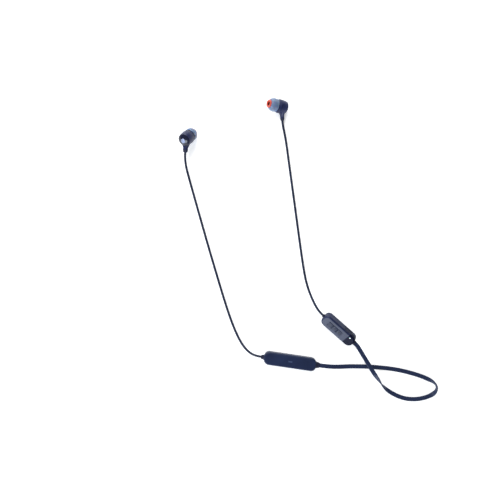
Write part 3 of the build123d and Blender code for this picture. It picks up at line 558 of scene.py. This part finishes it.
@dataclass(frozen=True)
class Seat:
    """Place of a sub-assembly: its origin in metres and its three unit directions."""

    origin: Vector
    along: Vector
    across: Vector
    up: Vector

    @classmethod
    def of_bud(cls, place: Point, aim: Point, hang: Point) -> "Seat":
        """Seat of a bud from its place in millimetres, its tip's direction and its stem's."""
        along = Vector(aim).normalized()
        up = Vector(hang).cross(along).normalized()
        return cls(Vector(place) * MM, along, up.cross(along), up)

    @classmethod
    def of_module(cls, place: Point, heading: float, roll: float) -> "Seat":
        """Seat of a module from its middle in millimetres and its turns in degrees."""
        turn, tilt = math.radians(heading), math.radians(roll)
        along = Vector((math.cos(turn), math.sin(turn), 0))
        lean = math.sin(tilt)
        up = Vector((math.sin(turn) * lean, -math.cos(turn) * lean, math.cos(tilt)))
        return cls(Vector(place) * MM, along, up.cross(along), up)

    def point(self, along: float, across: float = 0.0, up: float = 0.0) -> Vector:
        """Point at distances in millimetres from the origin."""
        return self.origin + (self.along * along + self.across * across + self.up * up) * MM

    def flat(self) -> Matrix:
        """Matrix that lays a piece modelled face up onto this seat."""
        return laid(self.along, self.across, self.up, self.origin)


def link(thing: Piece) -> None:
    """Puts a new object into the scene."""
    bpy.context.scene.collection.objects.link(thing)


def nothing_selected() -> None:
    """Leaves edit mode and deselects everything."""
    if bpy.context.object and bpy.context.object.mode != "OBJECT":
        bpy.ops.object.mode_set(mode="OBJECT")
    bpy.ops.object.select_all(action="DESELECT")


def only(piece: Piece) -> None:
    """Selects one piece and makes it active."""
    nothing_selected()
    piece.select_set(True)
    bpy.context.view_layer.objects.active = piece


@contextmanager
def editing() -> Iterator[None]:
    """Holds the active piece in edit mode."""
    bpy.ops.object.mode_set(mode="EDIT")
    yield
    bpy.ops.object.mode_set(mode="OBJECT")


def pick(piece: Piece, wanted: Callable[..., bool], kind: str) -> None:
    """Selects edges or faces of a piece in edit mode.

    Args:
        piece: the piece being edited.
        wanted: tells whether an element is picked.
        kind: "EDGE" or "FACE".
    """
    bpy.ops.mesh.select_mode(type=kind)
    bpy.ops.mesh.select_all(action="DESELECT")
    shape = bmesh.from_edit_mesh(piece.data)
    elements = shape.edges if kind == "EDGE" else shape.faces
    for element in elements:
        if wanted(element):
            element.select_set(True)
    shape.select_flush_mode()
    bmesh.update_edit_mesh(piece.data)


def settle(piece: Piece, name: str, place: Matrix, smooth: float = 40.0) -> None:
    """Names a piece, closes its doubles, turns its faces out and bakes its place into its mesh.

    Args:
        piece: the piece.
        name: its name.
        place: where it goes.
        smooth: the angle in degrees under which edges are smooth.
    """
    only(piece)
    piece.name = name
    piece.data.name = name
    with editing():
        bpy.ops.mesh.select_all(action="SELECT")
        bpy.ops.mesh.remove_doubles(threshold=TOUCHING)
        bpy.ops.mesh.normals_make_consistent(inside=False)
    piece.matrix_world = place @ piece.matrix_world
    bpy.context.view_layer.update()
    bpy.ops.object.transform_apply()
    bpy.ops.object.shade_smooth_by_angle(angle=math.radians(smooth))


def rings(outline: list[Ring], closed: bool, segments: int) -> Piece:
    """Draws a shape out of one circle, ring by ring, as on a lathe.

    Args:
        outline: height, half width and half depth of each ring, in millimetres.
        closed: whether the last ring is joined to the first; otherwise both ends are filled.
        segments: points in a ring.

    Returns:
        The shape, standing on the z axis.
    """
    nothing_selected()
    height, wide, deep = outline[0]
    bpy.ops.mesh.primitive_circle_add(vertices=segments, radius=wide * MM, location=(0, 0, 0))
    piece = bpy.context.object
    with editing():
        bpy.ops.mesh.select_all(action="SELECT")
        bpy.ops.transform.resize(value=(1, deep / wide, 1), center_override=(0, 0, 0))
        bpy.ops.transform.translate(value=(0, 0, height * MM))
        if not closed:
            bpy.ops.mesh.duplicate()
            bpy.ops.mesh.edge_face_add()
            pick(piece, lambda edge: not edge.link_faces, "EDGE")
        for next_height, next_wide, next_deep in outline[1:]:
            rise = (next_height - height) * MM
            bpy.ops.mesh.extrude_edges_move(TRANSFORM_OT_translate={"value": (0, 0, rise)})
            grow = (next_wide / wide, next_deep / deep, 1)
            bpy.ops.transform.resize(value=grow, center_override=(0, 0, next_height * MM))
            height, wide, deep = next_height, next_wide, next_deep
        if closed:
            pick(piece, lambda edge: len(edge.link_faces) == 1, "EDGE")
            bpy.ops.mesh.bridge_edge_loops()
        else:
            bpy.ops.mesh.edge_face_add()
    return piece


def lathe(profile: list[Range], segments: int, closed: bool = True) -> Piece:
    """Round shape from heights and radii in millimetres, a ring unless its ends are filled."""
    return rings([(height, radius, radius) for height, radius in profile], closed, segments)


def stations(level: float, edge: float, *offsets: Range) -> list[Range]:
    """Points of a profile from how far each is above a level and outside an edge."""
    return [(level + rise, edge + out) for rise, out in offsets]


def block(size: Point, place: Point, corner: float, edge: float) -> Piece:
    """Rounded block: a cube with its upright edges and then its top edge bevelled.

    Args:
        size: length, width and height in millimetres.
        place: its middle in millimetres.
        corner: radius of the upright edges.
        edge: radius of the top edge.

    Returns:
        The block, modelled face up.
    """
    nothing_selected()
    bpy.ops.mesh.primitive_cube_add(size=1, location=in_metres(place), scale=in_metres(size))
    piece = bpy.context.object
    bpy.ops.object.transform_apply()
    top = (place[2] + size[2] / 2) * MM
    with editing():
        pick(piece, lambda line: abs(line.verts[0].co.z - line.verts[1].co.z) > TOUCHING, "EDGE")
        bpy.ops.mesh.bevel(offset=corner * MM, segments=6, affect="EDGES")
        pick(piece, lambda line: all(abs(v.co.z - top) < TOUCHING for v in line.verts), "EDGE")
        bpy.ops.mesh.bevel(offset=edge * MM, segments=4, affect="EDGES")
    return piece


def dish(piece: Piece, level: float, insets: Range, depth: float) -> None:
    """Insets a block's top face twice and sinks the inner part.

    Args:
        piece: the block.
        level: height of its top in metres.
        insets: widths of the two borders in millimetres.
        depth: how far the inner part sinks, in millimetres.
    """
    with editing():
        pick(piece, lambda face: is_top(face, level), "FACE")
        for border in insets:
            bpy.ops.mesh.inset(thickness=border * MM)
        bpy.ops.transform.translate(value=(0, 0, -depth * MM))


def is_top(face: bmesh.types.BMFace, level: float) -> bool:
    """Tells whether a face looks up and lies at a height in metres."""
    return face.normal.z > FACING and abs(face.calc_center_median().z - level) < 1e-5


def arm_out(piece: Piece, reach: float, wanted: Callable[..., bool]) -> None:
    """Pulls faces out one by one.

    Args:
        piece: the piece.
        reach: how far, in millimetres.
        wanted: tells whether a face is pulled.
    """
    only(piece)
    with editing():
        pick(piece, wanted, "FACE")
        bpy.ops.mesh.extrude_faces_move(TRANSFORM_OT_shrink_fatten={"value": reach * MM})


def finish_piece(piece: Piece, body: str, finish: Finish, slot: str, *nodes: str) -> None:
    """Dresses a piece, puts it on its body and reports it.

    Args:
        piece: the piece.
        body: the body that it rides on.
        finish: its finish.
        slot: the record's material slot; not used.
        nodes: model nodes that it stands for.
    """
    PALETTE.dress(piece, finish)
    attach(piece, body)
    if nodes:
        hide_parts(*nodes)
    log.info("%s: %d faces, rides on %s", piece.name, len(piece.data.polygons), body)


# ---- cords


@dataclass
class Cord:
    """Round lead or flat ribbon that follows one smooth curve from gland to gland.

    The route is given in millimetres; the length, width and thickness are in metres.
    """

    name: str
    node: str
    route: list[Point]
    length: float
    width: float = 0.0022
    thickness: float = 0.0022
    finish: Finish = SKIN
    edge_on: tuple[Range, ...] = ((0.0, 0.0), (1.0, 0.0))
    around: int = 20

    def __post_init__(self) -> None:
        """Turns the route into metres."""
        self.route = [in_metres(point) for point in self.route]

    def centreline(self) -> list[Vector]:
        """Reads the points of a NURBS spline through the route.

        Returns:
            The centreline's points in metres.
        """
        data = bpy.data.curves.new(self.name + "_line", "CURVE")
        data.dimensions = "3D"
        data.resolution_u = 14
        spline = data.splines.new("NURBS")
        spline.points.add(len(self.route) - 1)
        for point, place in zip(spline.points, self.route):
            point.co = (*place, 1)
        spline.order_u = 3
        spline.use_endpoint_u = True
        holder = bpy.data.objects.new(self.name + "_line", data)
        link(holder)
        bpy.context.view_layer.update()
        mesh = bpy.data.meshes.new_from_object(holder)
        points = [vertex.co.copy() for vertex in mesh.vertices]
        bpy.data.objects.remove(holder)
        bpy.data.meshes.remove(mesh)
        steps = zip(points, points[1:])
        return points[:1] + [after for before, after in steps if (after - before).length > TOUCHING]

    def twist(self, share: float) -> float:
        """Turn of the section in degrees at a share of the length, eased between its stops."""
        for (start, low), (end, high) in zip(self.edge_on, self.edge_on[1:]):
            if start <= share <= end:
                part = (share - start) / (end - start)
                return low + (high - low) * part * part * (3 - 2 * part)
        return self.edge_on[-1][1]

    def section(self) -> list[Range]:
        """Points of the section: a circle, or a flat band with round edges."""
        half_wide, half_thick = self.width / 2, self.thickness / 2
        straight = half_wide - half_thick
        if straight < TOUCHING:
            turns = [2 * math.pi * index / self.around for index in range(self.around)]
            return [(half_thick * math.cos(turn), half_thick * math.sin(turn)) for turn in turns]
        steps = self.around // 3
        flat = straight * 0.9
        outline = []
        for end in (1, -1):
            for step in range(steps + 1):
                turn = math.pi * (step / steps - 0.5)
                reach = straight + half_thick * math.cos(turn)
                outline.append((end * reach, end * half_thick * math.sin(turn)))
            outline.append((end * flat, end * half_thick))
            outline.append((-end * flat, end * half_thick))
        return outline

    def build(self) -> None:
        line = self.centreline()
        travelled = [0.0]
        for a, b in zip(line, line[1:]):
            travelled.append(travelled[-1] + (b - a).length)
        shape = bmesh.new()
        surface = shape.loops.layers.uv.new("Along")
        outline = self.section()
        loops = []
        for index, middle in enumerate(line):
            ahead = line[min(index + 1, len(line) - 1)] - line[max(index - 1, 0)]
            ahead.normalize()
            side = ahead.cross(Vector((0, 0, 1))).normalized()
            angle = math.radians(self.twist(travelled[index] / travelled[-1]))
            side = Matrix.Rotation(angle, 3, ahead) @ side
            above = side.cross(ahead)
            loops.append([shape.verts.new(middle + side * x + above * y) for x, y in outline])
        for index, (here, there) in enumerate(zip(loops, loops[1:])):
            for step in range(len(outline)):
                after = (step + 1) % len(outline)
                face = shape.faces.new((here[step], there[step], there[after], here[after]))
                face.smooth = True
                corners = ((0, 0), (1, 0), (1, 1), (0, 1))
                for loop, (row, column) in zip(face.loops, corners):
                    share = (step + column) / len(outline)
                    loop[surface].uv = (travelled[index + row], share)
        shape.faces.new(list(reversed(loops[0])))
        shape.faces.new(loops[-1])
        bmesh.ops.recalc_face_normals(shape, faces=shape.faces)
        mesh = bpy.data.meshes.new(self.name)
        shape.to_mesh(mesh)
        shape.free()
        piece = bpy.data.objects.new(self.name, mesh)
        link(piece)
        finish_piece(piece, "headset", self.finish, "cable_skin", self.node)
        log.info("%s is %.1f mm long", self.name, travelled[-1] / MM)


LEFT_LEAD = Cord(
    name="left_lead",
    node="left_cable",
    route=[
        (-75.53, 75.69, 8.87), (-75.83, 72.86, 7.93), (-75.9, 69.3, 6.35),
        (-75.55, 64.6, 4.1), (-74.5, 58.9, 1.95), (-71.8, 49.0, 1.14),
        (-66.3, 29.3, 1.12), (-56.7, -4.5, 1.12), (-46.9, -37.9, 1.12),
        (-38.3, -66.3, 1.12), (-31.3, -86.1, 1.12), (-24.1, -100.9, 1.12),
        (-17.1, -108.5, 2.3), (-10.51, -111.22, 4.0), (-6.06, -111.88, 4.0),
    ],
    length=0.2081,
)
RIGHT_LEAD = Cord(
    name="right_lead",
    node="right_cable",
    route=[
        (13.64, 106.22, 2.32), (13.79, 104.74, 1.73), (14.09, 102.61, 1.31),
        (14.52, 100.1, 1.13), (15.6, 95.1, 1.12), (17.4, 85.1, 1.12),
        (20.0, 65.3, 1.12), (24.9, 29.6, 1.12), (30.0, -8.5, 1.12),
        (33.6, -33.1, 1.12), (36.3, -45.7, 1.6), (39.8, -55.7, 3.2),
        (43.4, -63.9, 5.2), (47.35, -70.4, 6.13), (50.72, -73.38, 6.13),
    ],
    length=0.1858,
)
NECK_RIBBON = Cord(
    name="neck_ribbon",
    node="ribbon_cable",
    route=[
        (47.66, -119.81, 4.0), (55.57, -120.98, 4.0), (66.5, -121.7, 1.8),
        (77.5, -121.4, 0.65), (96.5, -121.8, 0.65), (118.5, -124.0, 0.65),
        (136.5, -128.4, 0.8), (147.6, -132.4, 1.5), (154.4, -136.2, 2.05),
        (157.3, -140.8, 2.05), (155.0, -145.9, 1.9), (148.2, -149.9, 1.2),
        (138.0, -152.3, 0.65), (126.0, -151.4, 0.65), (114.5, -146.1, 1.2),
        (106.7, -139.8, 2.05), (101.9, -132.8, 3.0), (97.1, -125.9, 3.8),
        (92.5, -118.1, 4.6), (87.5, -110.1, 5.6), (83.9, -104.1, 6.05),
        (81.7, -100.8, 6.13), (79.78, -99.09, 6.13),
    ],
    length=0.2221,
    width=0.004,
    thickness=0.0012,
    finish=RIBBON_SKIN,
    edge_on=(
        (0.0, 0.0), (0.45, 0.0), (0.515, 90.0), (0.575, 0.0),
        (0.71, 0.0), (0.875, 180.0), (1.0, 180.0),
    ),
    around=24,
)


# ---- ear buds


@dataclass
class EarBud:
    """One bud: soft tip, strain relief and the trim that its hard shells carry."""

    side: Side
    place: Point
    aim: Point
    hang: Point
    tip_back: float = 4.9
    tip_length: float = 7.9
    tip_radius: float = 6.05
    core_radius: float = 3.5
    sound_hole: float = 2.0
    grip_radius: float = 2.65
    tip_overlap: float = 0.6
    tip_nose: float = 1.4
    stem_station: float = -1.8
    stem_angle: float = 110.0
    stem_end: float = 10.0
    relief_end: float = 12.6
    stem_half: Range = (2.45, 1.8)
    flange_wall: float = 0.62
    lip_stop: float = 8.9
    seam: float = 1.0
    seam_radius: float = 6.24

    def __post_init__(self) -> None:
        """Works out the bud's seat and its stem's direction."""
        self.seat = Seat.of_bud(self.place, self.aim, self.hang)
        lean = math.radians(self.stem_angle)
        self.down = self.seat.along * math.cos(lean) - self.seat.across * math.sin(lean)

    def name(self, part: str) -> str:
        """Piece name with the bud's side in front."""
        return f"{self.side.value}_{part}"

    def on_axis(self) -> Matrix:
        """Matrix that lays a turned piece along the bud's axis."""
        return turned(self.seat.across, self.seat.along, self.seat.origin)

    def down_stem(self) -> Matrix:
        """Matrix that lays a turned piece down the stem."""
        return turned(self.seat.up, self.down, self.seat.point(self.stem_station))

    def turn(
        self, part: str, profile: list[Range], segments: int, smooth: float, *dress: object
    ) -> None:
        """Turns a ring-shaped piece on the bud's axis.

        Args:
            part: its name after the side.
            profile: heights along the axis and radii, in millimetres.
            segments: points around it.
            smooth: the angle in degrees under which edges are smooth.
            dress: its body, finish and slot, and any node that it stands for.
        """
        piece = lathe(profile, segments)
        settle(piece, self.name(part), self.on_axis(), smooth)
        finish_piece(piece, *dress)

    def flange(self) -> None:
        """Thin domed flange, rolled at its hem, folding back over the core."""
        hem = self.tip_back - self.tip_overlap
        crown = self.tip_back + self.tip_length - self.tip_nose
        wide, hub = self.tip_radius, self.core_radius + 0.06
        profile = [
            *stations(crown, hub, (0.02, 0), (-0.05, 0.35), (-0.32, 0.85), (-0.72, 1.3)),
            *stations(crown, wide, (-1.3, -0.9), (-2.0, -0.52), (-2.8, -0.24)),
            *stations(hem, wide, (3.6, -0.02), (2.4, 0), (1.2, -0.03), (0.5, -0.08)),
            *stations(hem, wide, (0.18, -0.15), (0.02, -0.3), (0.04, -0.46), (0.18, -0.58)),
            *stations(hem, wide - self.flange_wall, (0.6, 0), (1.6, 0), (3.2, 0)),
            *stations(crown, wide, (-3.0, -0.86), (-2.5, -1.3)),
            *stations(crown, hub, (-2.15, 0.8), (-2.0, 0.35), (-1.97, 0)),
        ]
        dress = (self.name("ear_tip"), FLANGE, "clear_silicone", self.name("ear_tip_flange"))
        self.turn("tip_flange", profile, 96, 60, *dress)

    def core(self) -> None:
        """Coloured core tube with a rounded mouth, an inner step and its grip at the back."""
        back, wide, hole = self.tip_back, self.core_radius, self.sound_hole
        front, stop, grip = back + self.tip_length, self.lip_stop, self.grip_radius
        profile = [
            (back, grip + 0.05),
            *stations(back, wide, (0, -0.15), (0.12, 0)),
            *stations(front, wide, (-0.9, 0), (-0.35, -0.03), (-0.12, -0.16)),
            *stations(front, wide, (0, -0.42), (0.02, -0.75)),
            *stations(front, hole, (-0.04, 0.42), (-0.18, 0.16), (-0.45, 0), (-1.6, -0.02)),
            *stations(stop, hole, (0.2, 0), (0, 0.2)),
            (stop, grip),
            *stations(back, grip, (1.2, 0), (0.3, 0)),
        ]
        dress = (self.name("ear_tip"), CORE, "orange_silicone", self.name("ear_tip_core"))
        self.turn("tip_core", profile, 80, 45, *dress)

    def sleeve(self) -> None:
        """Smoke collar around the back half of the core, where the flange is rooted."""
        offsets = ((0.05, 0.02), (0.1, 0.14), (0.4, 0.2), (2.4, 0.16), (2.7, 0.1), (2.8, 0.02))
        profile = stations(self.tip_back, self.core_radius, *offsets)
        self.turn("tip_sleeve", profile, 72, 60, self.name("ear_tip"), SLEEVE, "clear_silicone")

    def painted_hole_shade(self) -> None:
        """Painted shade: a dark sleeve a little way down the sound hole, standing for the shade
        inside it.
        """
        offsets = ((-3.3, -0.06), (-1.0, -0.06), (-0.9, -0.14), (-3.2, -0.3))
        profile = stations(self.tip_back + self.tip_length, self.sound_hole, *offsets)
        self.turn("tip_shade_sleeve", profile, 64, 40, self.name("ear_tip"), PAINTED_BORE_SHADE, "orange_silicone")

    def relief(self) -> None:
        """Tapered rubber boot under the stem with two shallow grooves."""
        top, end = self.stem_end + 0.04, self.relief_end
        wide, deep = self.stem_half
        grooved = (
            (0, 0.12, 0.12), (0.08, 0, 0), (0.55, 0.04, 0.04), (0.66, 0.2, 0.18),
            (0.86, 0.22, 0.19), (0.97, 0.1, 0.1), (1.35, 0.16, 0.14), (1.46, 0.34, 0.28),
            (1.66, 0.36, 0.29), (1.77, 0.24, 0.2),
        )
        tapered = ((-0.42, 0.36, 0.26), (-0.16, 0.5, 0.34), (-0.03, 0.78, 0.52))
        profile = [(top + rise, wide - side, deep - front) for rise, side, front in grooved]
        profile += [(end + rise, wide - side, deep - front) for rise, side, front in tapered]
        profile += [(end, 1.3, 1.2), (end - 0.25, 1.13, 1.13)]
        piece = rings(profile, False, 64)
        settle(piece, self.name("stem_boot"), self.down_stem(), 50)
        finish_piece(piece, "headset", RUBBER, "navy_rubber", self.name("bud_relief"))

    def seam_ring(self) -> None:
        """Narrow bright-edged ring in the seam between the bud's two shells."""
        offsets = ((-0.14, 0), (-0.1, 0.1), (0, 0.13), (0.1, 0.1), (0.14, 0))
        profile = stations(self.seam, self.seam_radius, *offsets)
        self.turn("seam_ring", profile, 96, 60, "headset", CAP, "dark_cap")

    def build(self) -> None:
        """Builds every piece of the bud."""
        self.core()
        self.sleeve()
        self.painted_hole_shade()
        self.flange()
        self.relief()
        self.seam_ring()


# ---- modules


@dataclass
class Boot:
    """Sizes of one rubber relief where a lead enters a module, in millimetres."""

    name: str
    node: str
    outward: int
    root: Range
    tip: Range
    reach: float
    rooted: float = 2.1
    groove: float = 0.1

    def build(self, seat: Seat, half: float) -> None:
        """Turns the relief out of the module's end.

        Args:
            seat: the module's seat.
            half: half the module's length.
        """
        root_wide, root_deep = self.root[0] / 2, self.root[1] / 2
        tip_wide, tip_deep = self.tip[0] / 2, self.tip[1] / 2
        profile = [
            (-self.rooted, root_wide - 0.05, root_deep - 0.05),
            (0.0, root_wide - 0.03, root_deep - 0.03),
        ]
        for part in (0.12, 0.3, 0.36, 0.48, 0.54, 0.8, 0.92):
            groove = self.groove if part in (0.36, 0.48) else 0.0
            wide = root_wide + (tip_wide - root_wide) * part - groove
            deep = root_deep + (tip_deep - root_deep) * part - groove
            profile.append((self.reach * part, wide, deep))
        profile += [
            (self.reach, tip_wide - 0.2, tip_deep - 0.14),
            (self.reach - 0.02, tip_wide - 0.45, tip_deep - 0.3),
        ]
        piece = rings(profile, False, 56)
        place = turned(seat.across, seat.along * self.outward, seat.point(self.outward * half))
        settle(piece, self.name, place, 45)
        finish_piece(piece, "headset", RUBBER, "navy_rubber", self.node)


@dataclass
class Module:
    """Capsule in the lead, with a rubber relief at each end."""

    place: Point
    heading: float
    roll: float
    length: float
    boots: list[Boot]
    width: float = 12.0

    def __post_init__(self) -> None:
        """Works out the module's seat."""
        self.seat = Seat.of_module(self.place, self.heading, self.roll)

    def build(self) -> None:
        """Builds the reliefs."""
        for boot in self.boots:
            boot.build(self.seat, self.length / 2)


@dataclass
class Remote(Module):
    """Capsule with three keys in its face and the flap in its side."""

    key_centre: float = -3.6
    key_pitch: float = 5.2
    key_size: Range = (4.9, 4.6)
    key_top: float = 4.35
    key_bottom: float = 2.9
    ring_mark: Range = (0.72, 0.2)
    mark_line: float = 0.46
    mark_arm: float = 0.62
    pin_place: Point = (3.0, 5.6, 0.0)
    flap_start: float = 2.6
    flap_end: float = 11.8
    flap_height: float = 4.4
    flap_thickness: float = 0.75

    def key(self, mark: Mark, station: float) -> None:
        """One soft key, dished, with its mark.

        Args:
            mark: the mark on it.
            station: its middle along the module.
        """
        middle = (self.key_top + self.key_bottom) / 2
        size = (*self.key_size, self.key_top - self.key_bottom)
        cap = block(size, (station, 0, middle), corner=0.7, edge=0.22)
        dish(cap, self.key_top * MM, (0.2, 0.2), 0.07)
        settle(cap, f"{mark.value}_cap", self.seat.flat(), 50)
        finish_piece(cap, mark.value, KEY, "key_rubber", f"{mark.value}_key")
        self.mark(mark, station)

    def mark(self, mark: Mark, station: float) -> None:
        """Plain mark inked on a key.

        Args:
            mark: which mark.
            station: the key's middle along the module.
        """
        level = self.key_top - 0.05
        if mark is Mark.RING:
            nothing_selected()
            middle = (station * MM, 0, level * MM)
            bpy.ops.mesh.primitive_torus_add(
                major_radius=self.ring_mark[0] * MM,
                minor_radius=self.ring_mark[1] * MM,
                major_segments=48,
                minor_segments=12,
                location=middle,
            )
            piece = bpy.context.object
            with editing():
                bpy.ops.mesh.select_all(action="SELECT")
                bpy.ops.transform.resize(value=(1, 1, 0.4), center_override=middle)
        else:
            line, arm = self.mark_line, self.mark_arm
            piece = block((line, line, 0.14), (station, 0, level), corner=0.04, edge=0.03)
            arm_out(piece, arm, lambda face: abs(face.normal.x) > FACING)
            if mark is Mark.PLUS:
                arm_out(piece, arm, lambda face: self.is_side(face, station))
        settle(piece, f"{mark.value}_mark", self.seat.flat(), 40)
        finish_piece(piece, mark.value, INK, "key_rubber")

    @staticmethod
    def is_side(face: bmesh.types.BMFace, station: float) -> bool:
        """Tells whether a face looks across the module and sits at a key's middle."""
        here = abs(face.calc_center_median().x - station * MM) < 1e-4
        return abs(face.normal.y) > FACING and here

    def flap(self) -> None:
        """Soft flap over the socket, with a shallow panel sunk in its face."""
        seat = self.seat
        length = self.flap_end - self.flap_start - 0.2
        middle = (self.flap_start + self.flap_end) / 2 + 0.1
        thick = self.flap_thickness - 0.08
        size = (length, self.flap_height - 0.06, thick)
        panel = block(size, (middle, 0, 0), corner=0.9, edge=0.16)
        dish(panel, thick / 2 * MM, (0.45, 0.08), 0.06)
        middle_across = self.width / 2 - self.flap_thickness / 2 - 0.02
        lie = laid(seat.along, -seat.up, seat.across, seat.point(0, middle_across, 0))
        settle(panel, "flap_panel", lie, 45)
        finish_piece(panel, "flap", RUBBER, "key_rubber", "port_flap")
        self.flap_hinge()

    def flap_hinge(self) -> None:
        """Two slim pins at the flap's end that it turns on."""
        reach = self.flap_height / 2
        pin = [(reach - 0.05, 0.32), (reach, 0.24), (reach + 0.36, 0.23), (reach + 0.42, 0.16)]
        piece = lathe([(-end, radius) for end, radius in reversed(pin)] + pin, 28, closed=False)
        place = turned(self.seat.along, self.seat.up, self.seat.point(*self.pin_place))
        settle(piece, "flap_pins", place, 40)
        finish_piece(piece, "flap", RUBBER, "key_rubber")

    def build(self) -> None:
        """Builds the reliefs, the keys and the flap."""
        super().build()
        for mark, step in ((Mark.MINUS, -1), (Mark.RING, 0), (Mark.PLUS, 1)):
            self.key(mark, self.key_centre + step * self.key_pitch)
        self.flap()


LEFT_BUD = EarBud(
    Side.LEFT, (-73.55, 88.6, 11.5), (0.400, 0.560, -0.726), (-0.100, -0.945, -0.313),
)
RIGHT_BUD = EarBud(
    Side.RIGHT, (10.9, 118.0, 7.9), (-0.843, 0.070, 0.533), (0.127, -0.916, -0.382),
)
REMOTE = Remote(
    (65.1, -86.1, 6.129),
    -41.5,
    35.0,
    36.0,
    [
        Boot("remote_lead_boot", "remote_cable_relief", -1, (3.6, 3.4), (3.0, 3.0), 1.2),
        Boot("remote_ribbon_boot", "remote_ribbon_relief", 1, (5.4, 3.0), (4.8, 2.2), 1.6),
    ],
)
BATTERY = Module(
    (20.5, -115.8, 4.0),
    -8.4,
    0.0,
    48.5,
    [
        Boot("battery_lead_boot", "battery_cable_relief", -1, (4.8, 4.4), (3.8, 3.6), 2.6),
        Boot("battery_ribbon_boot", "battery_ribbon_relief", 1, (6.2, 3.6), (4.8, 2.4), 3.2),
    ],
)


# ---- studio

WHITE = (1.0, 1.0, 1.0)


@dataclass
class Softbox:
    """One square area light aimed at a point."""

    name: str
    place: Point
    size: float
    power: float
    colour: Colour = WHITE
    target: Point = (0.0, -0.02, 0.0)

    def build(self) -> None:
        """Makes the light."""
        data = bpy.data.lights.new(self.name, "AREA")
        data.shape = "SQUARE"
        data.size = self.size
        data.energy = self.power
        data.color = self.colour
        lamp = bpy.data.objects.new(self.name, data)
        lamp.location = self.place
        aim = Vector(self.target) - Vector(self.place)
        lamp.rotation_euler = aim.to_track_quat("-Z", "Y").to_euler()
        link(lamp)


@dataclass
class Studio:
    """Camera, pale floor and soft light."""

    camera_place: Point = (-0.01638, -0.01345, 0.4986)
    view_angle: float = 50.0
    floor_size: float = 3.0
    floor_drop: float = 0.00005
    floor_glow: float = 0.4
    surround: float = 0.34
    softboxes: tuple[Softbox, ...] = (
        Softbox("overhead", (-0.25, 0.5, 0.9), 0.6, 6.0),
        Softbox("lower_left", (-0.55, -0.85, 0.4), 0.6, 13.0, (0.84, 0.92, 1.0)),
        Softbox("upper", (-0.15, 0.9, 0.35), 0.5, 6.0, (0.97, 0.99, 1.0)),
    )

    def camera(self) -> None:
        """Camera straight above, with the buds at the top of its frame."""
        data = bpy.data.cameras.new("camera")
        data.sensor_fit = "HORIZONTAL"
        data.angle = math.radians(self.view_angle)
        data.clip_start = 0.01
        lens = bpy.data.objects.new("camera", data)
        lens.location = self.camera_place
        lens.rotation_euler = (0, 0, 0)
        link(lens)
        bpy.context.scene.camera = lens

    def floor(self) -> None:
        """Pale seamless floor."""
        nothing_selected()
        bpy.ops.mesh.primitive_plane_add(size=self.floor_size, location=(0, 0, -self.floor_drop))
        sheet = bpy.context.object
        sheet.name = "floor"
        nodes = Nodes("floor_white")
        tone = nodes.noise(6, 2)
        nodes.surface(
            Base_Color=nodes.ramp(tone, (0.3, (0.93,) * 3), (0.7, (0.95,) * 3)),
            Roughness=0.85,
            Emission_Color=(*WHITE, 1),
            Emission_Strength=self.floor_glow,
        )
        sheet.data.materials.append(nodes.material)

    def light(self) -> None:
        """White surround and the softboxes."""
        world = bpy.data.worlds.new("surround")
        world.use_nodes = True
        background = world.node_tree.nodes["Background"]
        background.inputs["Color"].default_value = (*WHITE, 1)
        background.inputs["Strength"].default_value = self.surround
        bpy.context.scene.world = world
        for box in self.softboxes:
            box.build()

    def build(self) -> None:
        """Sets the stage."""
        bpy.context.scene.view_settings.view_transform = "Standard"
        self.camera()
        self.floor()
        self.light()


def dress_model() -> None:
    """Gives every model node its finish by the end of its name."""
    for name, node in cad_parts.items():
        for finish, endings in CAD_FINISHES.items():
            if name.endswith(endings):
                PALETTE.dress(node, finish)


def main() -> None:
    """Builds the studio, the cords and the headset."""
    logging.basicConfig(level=logging.INFO, format="%(name)s: %(message)s")
    Studio().build()
    dress_model()
    for cord in (LEFT_LEAD, RIGHT_LEAD, NECK_RIBBON):
        cord.build()
    for assembly in (LEFT_BUD, RIGHT_BUD, REMOTE, BATTERY):
        assembly.build()
    nothing_selected()


if __name__ == "__main__":
    main()
